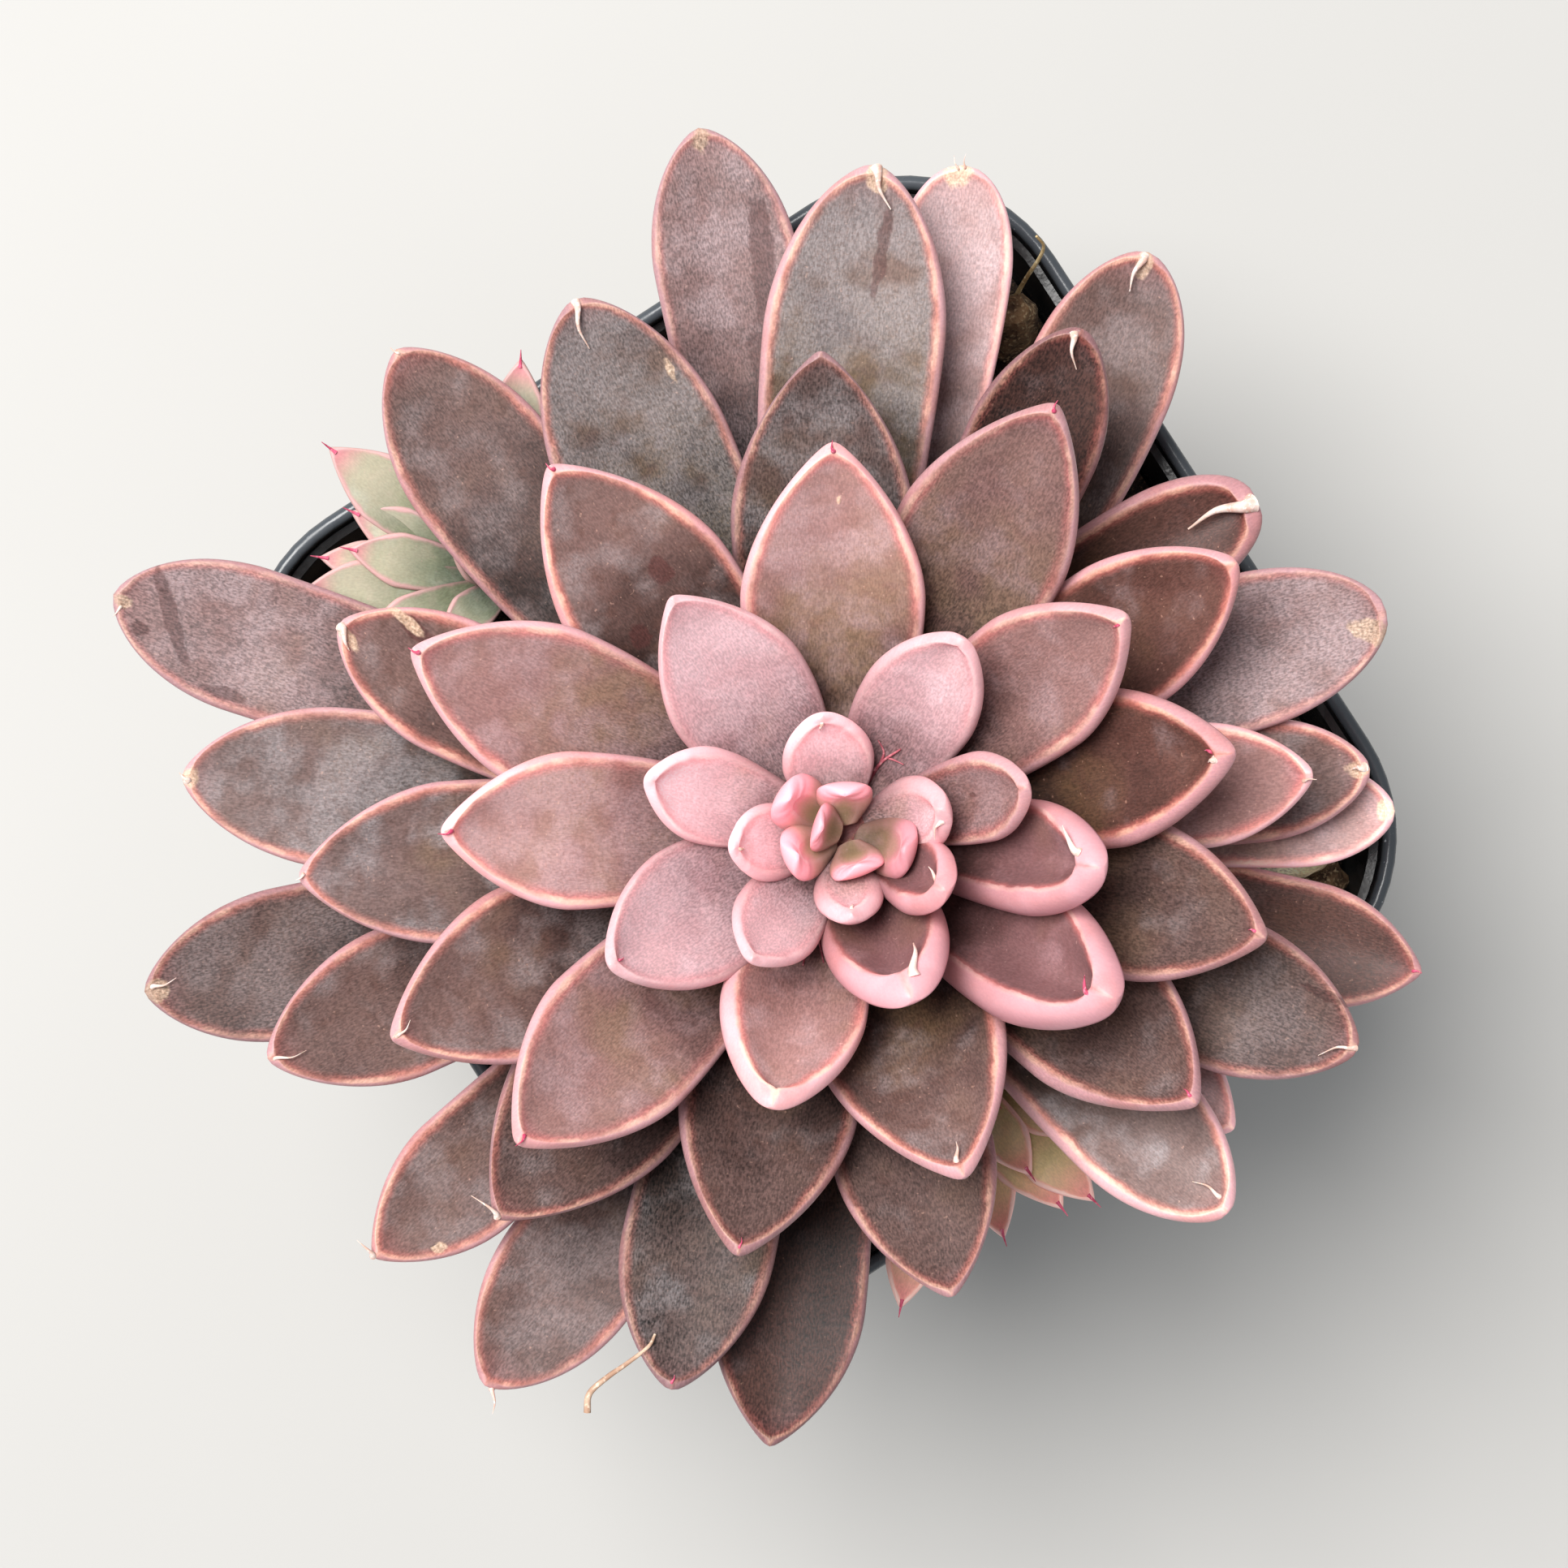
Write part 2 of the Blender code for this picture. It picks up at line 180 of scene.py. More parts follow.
def linked(name, data):
    piece = bpy.data.objects.new(name, data)
    bpy.context.scene.collection.objects.link(piece)
    return piece


def grow(jobs):
    # Runs a tree on each base mesh and keeps the result as a plain mesh
    pieces = []
    for name, base, tree, values in jobs:
        piece = linked(name, base)
        step = piece.modifiers.new("form", "NODES")
        step.node_group = tree
        for item in tree.interface.items_tree:
            if item.item_type == "SOCKET" and item.in_out == "INPUT" and item.name in values:
                step[item.identifier] = values[item.name]
        pieces.append(piece)
    graph = bpy.context.evaluated_depsgraph_get()
    meshes = [bpy.data.meshes.new_from_object(piece.evaluated_get(graph)) for piece in pieces]
    for piece, mesh in zip(pieces, meshes):
        piece.modifiers.clear()
        piece.data = mesh
        mesh.name = piece.name
    return pieces


def joined(name, pieces):
    # One object of several finished pieces, which keeps their materials and attributes
    first = pieces[0]
    with bpy.context.temp_override(active_object=first, object=first, selected_editable_objects=pieces):
        bpy.ops.object.join()
    first.name = name
    first.data.name = name
    return first


def keep(piece, node):
    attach(piece, "root")
    if node:
        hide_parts(node)


# Leaf form: a body swept along a midrib, with a dished face, a raised rim and a keeled underside

def outline(part, size):
    # Half the width along the leaf: a narrow foot, a broad middle and a rounded or pointed tip
    rising = ((part / size["Peak"]).held() * (pi / 2)).calc("SINE") ** 1.2
    falling = ((part - size["Peak"]) / (1.0 - size["Peak"])).held() ** size["Point"]
    return (rising * (1.0 - size["Foot"]) + size["Foot"]) * (1.0 - falling) ** size["Tip Round"]


def makeLeafForm():
    tree, size, end = startTree("leafForm", "GeometryNodeTree", {
        "Midrib": "Geometry", "Length": 0.05, "Width": 0.02, "Peak": 0.6, "Foot": 0.4, "Point": 1.7,
        "Tip Round": 0.8, "Thickness": 0.005, "Cup": 0.1, "Rim Inset": 0.0009, "Rim Drop": 0.0009,
        "Rim Lift": 0.0, "Rim Skew": 0.0, "Tip Band": 0.001, "Soft Crest": 0.0, "Ripple": 0.0002,
        "Seed": 0.0, "Tone": (0.0, 0.0, 0.0), "Rows": 60, "Around": 60, "Skin": "Material",
    }, {"Leaf": "Geometry"})
    length, width, seed = size["Length"], size["Width"], size["Seed"]

    # a flat grid whose one way runs along the leaf, and the other round it
    grid = addNode(tree, "GeometryNodeMeshGrid", {}, {
        "Size X": 1.0, "Size Y": 1.0, "Vertices X": size["Rows"], "Vertices Y": size["Around"]})
    place = fieldOf(tree.nodes.new("GeometryNodeInputPosition"))
    gridX, gridY = splitVector(place)[:2]
    row = gridX + 0.5
    part = 1.0 - (1.0 - row).held() ** 1.25
    # from the keel under one side, over the face, to the keel again
    round01 = (gridY * 2.0).calc("ABSOLUTE").held()
    side = (gridY * -1.0).calc("SIGN")
    # the same sign, faded out at the middle, the keel and the tip, where the two halves meet
    stretch = 1.0 + size["Tip Band"] / length
    faceTip = stretch ** -1.0
    sideSoft = side * (round01 * pi).calc("SINE") * part.ramp(faceTip, faceTip - 0.22)
    faceEnd, rimEnd = 0.47, 0.68
    across = 1.0 - (1.0 - (round01 / faceEnd).held()) ** 1.5
    rimTurn = ((round01 - faceEnd) / (rimEnd - faceEnd)).held() * (pi / 2)
    underTurn = ((round01 - rimEnd) / (1.0 - rimEnd)).held() * (pi / 2)

    # a slow unevenness, its own for each leaf
    wander = addNode(tree, "ShaderNodeTexNoise", {"noise_dimensions": "3D"}, {
        "Vector": joinVector(part * 3.2, sideSoft * 1.7, seed * 9.1), "Scale": 1.0, "Detail": 1.5})
    uneven = fieldOf(wander) - 0.5
    wobble = 1.0 + uneven * (part * (1.0 - part)) * 0.16

    half = outline(part, size) * width * wobble * 0.5
    skew = 1.0 + sideSoft * size["Rim Skew"]
    inset = size["Rim Inset"] * skew
    ridgeWidth = width * 0.5 - inset
    crestSize = dict(size, **{"Tip Round": size["Tip Round"] * 0.8})
    ridge = outline(part * stretch, crestSize) * ridgeWidth * wobble
    ridge = ridge.calc("MINIMUM", half)
    ahead = outline(part * stretch + 0.01, crestSize) * ridgeWidth
    behind = outline(part * stretch - 0.01, crestSize) * ridgeWidth
    slope = (ahead - behind) / (length * 0.02)
    straight = (slope * slope + 1.0) ** -0.5

    # the end beyond the face's tip is rounded like a prow
    beyond = ((part - faceTip) / (1.0 - faceTip)).held()
    prow = (1.0 - beyond * beyond).calc("MAXIMUM", 0.0) ** 0.5
    lift = size["Rim Lift"] * part.ramp(0.25, 0.9) * skew
    ridgeHigh = (half * size["Cup"] + lift + uneven * part * size["Ripple"] * 4.0) * prow
    drop = (size["Rim Drop"] * part.ramp(-0.2, 0.3) + lift * 0.85) * prow
    edgeHigh = ridgeHigh - drop
    narrowing = (ridge / (ridgeWidth * 0.5)).held()
    dish = ridgeHigh * 0.9 + size["Rim Drop"] * 0.12 * (1.0 - size["Soft Crest"])
    dish = dish * (narrowing * (2.0 - narrowing))
    fullness = (part / 0.6).calc("MINIMUM", 1.0) * pi
    thin = (part - 0.3).calc("MAXIMUM", 0.0) ** 1.2
    slim = (half / (width * 0.3)).calc("MINIMUM", 1.0) * 0.45 + 0.55
    tapered = 1.0 - part ** 5.0 * 0.45
    deep = size["Thickness"] * (0.8 + fullness.calc("SINE") * 0.2 - thin * 0.62) * slim * prow * tapered
    # the keel always lies below the flanks
    deep = deep.calc("MAXIMUM", (drop - ridgeHigh) * 1.35)

    x = ridge * across + (half - ridge) * rimTurn.calc("SINE") - half * (1.0 - underTurn.calc("COSINE"))
    sharp = across * across * (2.0 - across) * 0.8 + across ** 4.0 * 0.2
    soft = across * across * (3.0 - across * 2.0)
    hollow = 1.0 - sharp - (soft - sharp) * size["Soft Crest"]
    y = ridgeHigh - dish * hollow
    y = y - drop * (1.0 - rimTurn.calc("COSINE"))
    y = y - (deep + edgeHigh) * underTurn.calc("SINE") ** 1.35
    closed = (row * 55.0).held()
    x = x * side * closed
    y = y * closed

    # what the skin reads: distance in mm from the rim's crest, inward above 0, and the leaf laid flat
    inward = (ridge - x.calc("ABSOLUTE")) * straight
    outward = rimTurn * (inset + drop) * 0.6 + underTurn * half
    crest = (inward * (round01.calc("LESS_THAN", faceEnd)) - outward) * 1000.0
    mesh = stored(fieldOf(grid, "Mesh"), {
        "crest": crest, "along": part, "seed": seed, "flat": joinVector(x, part * length, y),
        "tone": size["Tone"]}, vectors=("flat", "tone"))

    # laid on the midrib
    curve = addNode(tree, "GeometryNodeMeshToCurve", {}, {"Mesh": size["Midrib"]})
    sideways = addNode(tree, "GeometryNodeInputNamedAttribute", {"data_type": "FLOAT_VECTOR"}, {
        "Name": "sideways"})
    sample = addNode(tree, "GeometryNodeSampleCurve", {"mode": "FACTOR", "data_type": "FLOAT_VECTOR"}, {
        "Curves": fieldOf(curve), "Value": fieldOf(sideways), "Factor": part})
    out = fieldOf(sample, "Tangent")
    level = vectorOf("NORMALIZE", fieldOf(sample, "Value"))
    up = vectorOf("CROSS_PRODUCT", out, level)
    place = vectorOf("ADD", fieldOf(sample, "Position"), vectorOf("SCALE", level, scale=x))
    place = vectorOf("ADD", place, vectorOf("SCALE", up, scale=y))
    moved = addNode(tree, "GeometryNodeSetPosition", {}, {"Geometry": mesh, "Position": place})
    merged = addNode(tree, "GeometryNodeMergeByDistance", {}, {
        "Geometry": fieldOf(moved), "Distance": 0.000003})
    return closeTree(end, fieldOf(merged), size["Skin"])


def midribMesh(start, direction, rise, bend, curl, length, steps=40):
    # The line that a leaf follows, with the level direction across it
    points = [start.copy()]
    sides = []
    for step in range(steps + 1):
        ahead = step / steps - 0.5
        turn = direction - curl * ahead
        sides.append(Vector((-sin(turn), cos(turn), 0)))
        ahead = (step + 0.5) / steps - 0.5
        turn = direction - curl * ahead
        angle = rise + bend * ahead
        stride = Vector((cos(turn) * cos(angle), sin(turn) * cos(angle), sin(angle)))
        points.append(points[-1] + stride * length / steps)
    mesh = bpy.data.meshes.new("midrib")
    mesh.from_pydata(points[:steps + 1], [(i, i + 1) for i in range(steps)], [])
    across = mesh.attributes.new("sideways", "FLOAT_VECTOR", "POINT")
    across.data.foreach_set("vector", [value for item in sides for value in item])
    return mesh


def smoothPath(points, steps=6):
    # A rounded line through a few points
    ends = [points[0] * 2 - points[1], *points, points[-1] * 2 - points[-2]]
    path = []
    for a, b, c, d in zip(ends, ends[1:], ends[2:], ends[3:]):
        for step in range(steps):
            t = step / steps
            path.append((b * 2 + (c - a) * t + (a * 2 - b * 5 + c * 4 - d) * t ** 2
                         + (b * 3 - a - c * 3 + d) * t ** 3) * 0.5)
    return path + [points[-1]]


def lineMesh(points, girths):
    mesh = bpy.data.meshes.new("line")
    mesh.from_pydata(points, [(i, i + 1) for i in range(len(points) - 1)], [])
    mesh.attributes.new("girth", "FLOAT", "POINT").data.foreach_set("value", girths)
    return mesh


def tapered(points, thick, loss):
    # Girths along a line that is this many mm thick at its start and loses this share to its end
    last = len(points) - 1
    return [thick * mm * (1 - loss * i / last) for i in range(last + 1)]


def makeThreadForm():
    # Thin tapering things that follow a line, such as dried tips and fibres
    tree, size, end = startTree("threadForm", "GeometryNodeTree", {
        "Line": "Geometry", "Sides": 8, "Seed": 0.0, "Skin": "Material"}, {"Threads": "Geometry"})
    girth = addNode(tree, "GeometryNodeInputNamedAttribute", {"data_type": "FLOAT"}, {"Name": "girth"})
    curve = addNode(tree, "GeometryNodeMeshToCurve", {}, {"Mesh": size["Line"]})
    part = addNode(tree, "GeometryNodeSplineParameter", {}, {})
    kept = addNode(tree, "GeometryNodeCaptureAttribute", {}, {})
    kept.capture_items.new("FLOAT", "Girth")
    kept.capture_items.new("FLOAT", "Part")
    feed(kept.inputs["Geometry"], fieldOf(curve))
    feed(kept.inputs["Girth"], fieldOf(girth))
    feed(kept.inputs["Part"], fieldOf(part, "Factor"))
    circle = addNode(tree, "GeometryNodeCurvePrimitiveCircle", {}, {
        "Radius": 1.0, "Resolution": size["Sides"]})
    tube = addNode(tree, "GeometryNodeCurveToMesh", {}, {
        "Curve": fieldOf(kept, "Geometry"), "Profile Curve": fieldOf(circle),
        "Scale": fieldOf(kept, "Girth"), "Fill Caps": True})
    mesh = stored(fieldOf(tube), {"along": fieldOf(kept, "Part"), "seed": size["Seed"]})
    return closeTree(end, mesh, size["Skin"])


# Colours and skins

def tint(red, green, blue):
    # A colour as picked on the screen, 0 to 255, turned into the linear one that Blender mixes
    return tuple((((value / 255) + 0.055) / 1.055) ** 2.4 for value in (red, green, blue)) + (1.0,)


def cloud(place, scale, detail=2.0, distortion=0.0):
    node = addNode(place.tree, "ShaderNodeTexNoise", {"noise_dimensions": "3D"}, {
        "Vector": place, "Scale": scale, "Detail": detail, "Distortion": distortion})
    return fieldOf(node)


def makePowder():
    # Patches of pale powder with small bare pits in them
    tree, given, end = startTree("powder", "ShaderNodeTree", {
        "Place": "Vector", "Patch": 0.16, "Amount": 0.5}, {"Mask": "Float"})
    place = given["Place"]
    broad = cloud(place, given["Patch"], 3.0)
    fine = cloud(place, 1.3, 1.5)
    pits = cloud(place, 2.9, 0.0).ramp(0.7, 0.6)
    mask = (broad + given["Amount"] * 0.42).ramp(0.56, 0.82) * (fine * 0.9 + 0.5).held() * (pits * 0.4 + 0.6)
    feed(end.inputs["Mask"], mask)
    return tree


def makeWrinkles():
    # Fine lines that run along a leaf in short dashes, and a grain between them
    tree, given, end = startTree("wrinkles", "ShaderNodeTree", {
        "Place": "Vector", "Across": 4.6, "Along": 1.7}, {"Lines": "Float", "Grain": "Float"})
    x, y, z = splitVector(given["Place"])
    sway = cloud(given["Place"], 0.3, 0.0) * 0.5
    lines = cloud(joinVector((x + sway) * given["Across"], y * given["Along"], z * 0.6), 1.0, 0.5)
    feed(end.inputs["Lines"], lines.ramp(0.32, 0.7))
    feed(end.inputs["Grain"], cloud(given["Place"], 3.2, 1.0))
    return tree


def makeLeafSkin(powder, wrinkles):
    # The whole colouring of a leaf from its crest distance, its place along and its own tone
    tree, given, end = startTree("leafSkin", "ShaderNodeTree", {
        "Crest": 0.0, "Along": 0.5, "Seed": 0.0, "Flat": "Vector", "Tone": "Vector", "Scar": 0.0, "Cork": 0.0,
        "Body": "Color", "Foot": "Color", "Blotch": "Color", "Bloom": "Color", "Olive": "Color",
        "Glow": "Color", "Rim": "Color", "Flank": "Color", "Under": "Color", "Tip": "Color",
        "Glow Width": 1.6, "Rim Width": 0.6, "Texture": 0.8, "Mottle": 0.5, "Foot End": 0.6, "Soft": 0.15,
        "Tip Start": 0.92,
    }, {"Colour": "Color", "Roughness": "Float", "Height": "Float"})
    seed, along, soft = given["Seed"], given["Along"], given["Soft"]
    place = vectorOf("SCALE", given["Flat"], scale=1000.0)
    place = vectorOf("ADD", place, joinVector(seed * 31.7, seed * 17.3, seed * 5.9))
    # the third tone darkens the whole leaf, and lightens it where below 0: partly its own tone and partly
    # painted shade and painted light
    bloomTone, oliveTone, darkTone = splitVector(given["Tone"])
    texture = addNode(tree, "ShaderNodeGroup", {"node_tree": wrinkles}, {"Place": place})
    lines = fieldOf(texture, "Lines")
    grain = fieldOf(texture, "Grain")
    bloomMask = fieldOf(addNode(tree, "ShaderNodeGroup", {"node_tree": powder}, {
        "Place": place, "Amount": bloomTone}), "Mask")
    shade = cloud(place, 0.1, 2.0)
    blots = cloud(place, 0.42, 3.0)

    # the layers over the body colour, each after how much of it shows
    layers = [
        # the foot colour: partly the leaf's own darker, greener base and partly painted shade where the
        # leaves above overlap it
        ((along + (shade - 0.5) * 0.5).ramp(given["Foot End"], given["Foot End"] - 0.45), given["Foot"]),
        ((shade + oliveTone * 0.5).ramp(0.5, 0.8) * along.ramp(1.05, 0.35), given["Olive"]),
        (blots.ramp(0.5, 0.68) * given["Mottle"], given["Blotch"]),
        (bloomMask * 0.55, given["Bloom"]),
        (along.ramp(given["Tip Start"], 1.02) * 0.8, given["Tip"]),
        (cloud(place, 2.2, 0.0).ramp(0.78, 0.85) * 0.2, given["Rim"]),
    ]

    # the margin, a little uneven: a glow inside, the smooth flank outside, the pale crest on top, partly the
    # rim's own pale colour and partly a painted highlight
    edge = given["Crest"] + (cloud(place, 0.5, 2.0) - 0.5) * 0.7
    fade = 1.0 - (soft * 0.6).held() * along.ramp(0.78, 0.45)
    strong = cloud(place, 0.16, 0.0).ramp(0.3, 0.6) * 0.45 + 0.55
    strong = strong * (along.ramp(0.0, 0.55) * 0.65 + 0.35) * fade
    flank = mixColour(shade.ramp(0.46, 0.66) * 0.4, given["Flank"], given["Glow"])
    crest = edge.ramp(given["Rim Width"], given["Rim Width"] * 0.2) * edge.ramp(-0.7, -0.2)
    patchy = cloud(place, 0.22, 1.0).ramp(0.35, 0.65) * 0.6 + 0.15
    layers += [
        (edge.ramp(given["Glow Width"], 0.0) ** 1.4 * strong, given["Glow"]),
        (edge.ramp(soft + 0.1, soft * -0.4 - 0.5) * fade, mixColour(grain * 0.2, flank, given["Rim"])),
        # the pale crest: partly the rim's own colour and partly a painted highlight along the crest
        (crest * strong * patchy, given["Rim"]),
        (given["Crest"].ramp(-1.8, -5.0), given["Under"]),
    ]

    # old marks: dark scars and pale corky patches
    ragged = (blots - 0.5) * 1.4
    cork = mixColour(grain, tint(190, 150, 118), tint(246, 220, 196))
    for mark, low, high, share, hue in ((given["Scar"], 0.3, 0.6, 0.55, tint(82, 42, 40)),
                                        (given["Cork"], 0.25, 0.65, 0.75, cork)):
        layers.append(((mark + ragged * mark.ramp(0.0, 0.3)).ramp(low, high) * share, hue))
    colour = given["Body"]
    for amount, layer in layers:
        colour = mixColour(amount, colour, layer)

    onFace = given["Crest"].ramp(-0.6, 0.8) * 0.75 + 0.25
    relief = given["Texture"] * onFace
    # the brightness falls towards the foot of each leaf: painted shade where the leaves overlap and cover it,
    # as well as the foot's own darker colour
    light = (1.0 - darkTone * 0.5) * (along.ramp(0.22, 0.82) * 0.74 + 0.42)
    for field, share in ((lines, relief * 0.36), (grain, relief * 0.7),
                         (blots, given["Mottle"] * onFace * 0.8), (shade, given["Mottle"] * onFace)):
        light = light + (field - 0.5) * share
    feed(end.inputs["Colour"], vectorOf("SCALE", colour, scale=light))
    feed(end.inputs["Roughness"], 0.34 + onFace * 0.1 + bloomMask * 0.2 + grain * 0.1)
    feed(end.inputs["Height"], (lines * 0.007 + grain * 0.008) * relief + shade * 0.2)
    return tree


def plainMaterial(name, settings):
    made = bpy.data.materials.new(name)
    made.use_nodes = True
    shader = made.node_tree.nodes["Principled BSDF"]
    for label, value in settings.items():
        shader.inputs[label].default_value = value
    return made, made.node_tree, shader


def bumped(tree, shader, height):
    bump = addNode(tree, "ShaderNodeBump", {}, {"Strength": 1.0, "Distance": 0.001, "Height": height})
    feed(shader.inputs["Normal"], fieldOf(bump, "Normal"))


# What a look holds, in this order: colours as picked on the screen, then amounts, in mm or as shares
lookLabels = (
    "Body", "Foot", "Blotch", "Bloom", "Olive", "Glow", "Rim", "Flank", "Under", "Tip",
    "Glow Width", "Rim Width", "Texture", "Mottle", "Foot End", "Soft", "Tip Start",
)


def leafMaterial(name, look, skinTree):
    made, tree, shader = plainMaterial(name, {
        "IOR": 1.42, "Subsurface Weight": 0.1, "Subsurface Scale": 0.0015,
        "Subsurface Radius": (1.0, 0.45, 0.35)})
    inputs = {}
    for label, value in zip(lookLabels, look):
        inputs[label] = tint(*value) if isinstance(value, tuple) else value
    for label in ("Crest", "Along", "Seed", "Scar", "Cork", "Flat", "Tone"):
        source = addNode(tree, "ShaderNodeAttribute", {"attribute_name": label.lower()}, {})
        inputs[label] = fieldOf(source, "Vector" if label in ("Flat", "Tone") else "Fac")
    skin = addNode(tree, "ShaderNodeGroup", {"node_tree": skinTree}, inputs)
    feed(shader.inputs["Base Color"], fieldOf(skin, "Colour"))
    feed(shader.inputs["Roughness"], fieldOf(skin, "Roughness"))
    bumped(tree, shader, fieldOf(skin, "Height"))
    return made


leafLooks = {
    "heartLeaf": (
        (222, 158, 160), (180, 152, 118), (236, 172, 180), (240, 194, 198), (186, 160, 124),
        (236, 150, 160), (250, 206, 208), (240, 164, 176), (228, 154, 162), (240, 128, 146),
        1.6, 0.2, 0.12, 0.2, 0.74, 1.2,
    ),
    "rosyLeaf": (
        (218, 177, 182), (170, 128, 128), (224, 180, 186), (234, 203, 209), (208, 170, 162),
        (226, 156, 160), (244, 208, 207), (229, 180, 186), (216, 160, 168), (226, 140, 152),
        1.7, 0.35, 0.6, 0.3, 0.55, 0.8,
    ),
    "cupLeaf": (
        (132, 94, 95), (84, 54, 50), (112, 72, 72), (176, 136, 140), (128, 94, 80),
        (200, 116, 114), (240, 194, 186), (224, 164, 173), (208, 148, 157), (206, 120, 128),
        1.2, 0.35, 0.45, 0.3, 0.65, 0.35,
    ),
    "mauveLeaf": (
        (158, 120, 116), (88, 58, 52), (130, 94, 88), (186, 156, 158), (146, 118, 96),
        (204, 122, 118), (250, 208, 188), (228, 172, 180), (176, 122, 130), (196, 112, 118),
        1.8, 0.65, 0.75, 0.35, 0.62,
    ),
    "duskyLeaf": (
        (118, 92, 87), (56, 38, 33), (88, 62, 55), (152, 138, 138), (112, 88, 64),
        (186, 110, 101), (242, 194, 172), (210, 157, 165), (150, 100, 104), (156, 100, 98),
        1.5, 0.6, 1.0, 0.5, 0.85,
    ),
    "slateLeaf": (
        (122, 101, 97), (66, 48, 38), (96, 74, 69), (162, 156, 158), (116, 94, 62),
        (188, 116, 106), (242, 196, 176), (209, 160, 168), (146, 104, 108), (150, 112, 110),
        1.4, 0.6, 1.0, 0.5, 0.85,
    ),
    "maroonLeaf": (
        (98, 65, 58), (52, 32, 26), (74, 46, 39), (138, 116, 116), (94, 68, 46),
        (180, 100, 92), (240, 186, 162), (204, 148, 156), (136, 88, 90), (140, 84, 82),
        1.5, 0.6, 0.95, 0.45, 0.85,
    ),
    "lilacLeaf": (
        (156, 126, 124), (84, 56, 52), (126, 94, 90), (192, 172, 175), (136, 108, 86),
        (196, 126, 122), (242, 198, 182), (211, 162, 170), (160, 118, 124), (176, 134, 132),
        1.3, 0.55, 1.0, 0.5, 0.8,
    ),
}
leafSkin = makeLeafSkin(makePowder(), makeWrinkles())
skins = {name: leafMaterial(name, look, leafSkin) for name, look in leafLooks.items()}
print("skins:", len(skins))


# Main head

leafForm = makeLeafForm()
rosette = {
    "foot": Vector((-6.2, -7.1, 110)), "crown": Vector((-3.6, -10.3, 147)),
    "stemThick": 9.5, "stemThin": 1.2, "rootDepth": 0.45,
    "firstLeaf": 135.0, "goldenStep": 137.8, "oldest": 63,
    "oldRise": 9.0, "heartRise": 52.0, "oldBend": 12.0, "heartBend": 30.0,
    "steepSide": 282.0, "steepMean": 3.5, "steepSwing": 7.5, "steepFade": 0.14,
    "pointLength": 0.95, "leafFoot": 0.4, "usualTip": 0.85, "usualCup": 0.13, "thinnest": 0.6,
    "thickening": 0.2, "smallLeaf": 9, "smallGrid": (40, 41), "usualGrid": (72, 61),
}
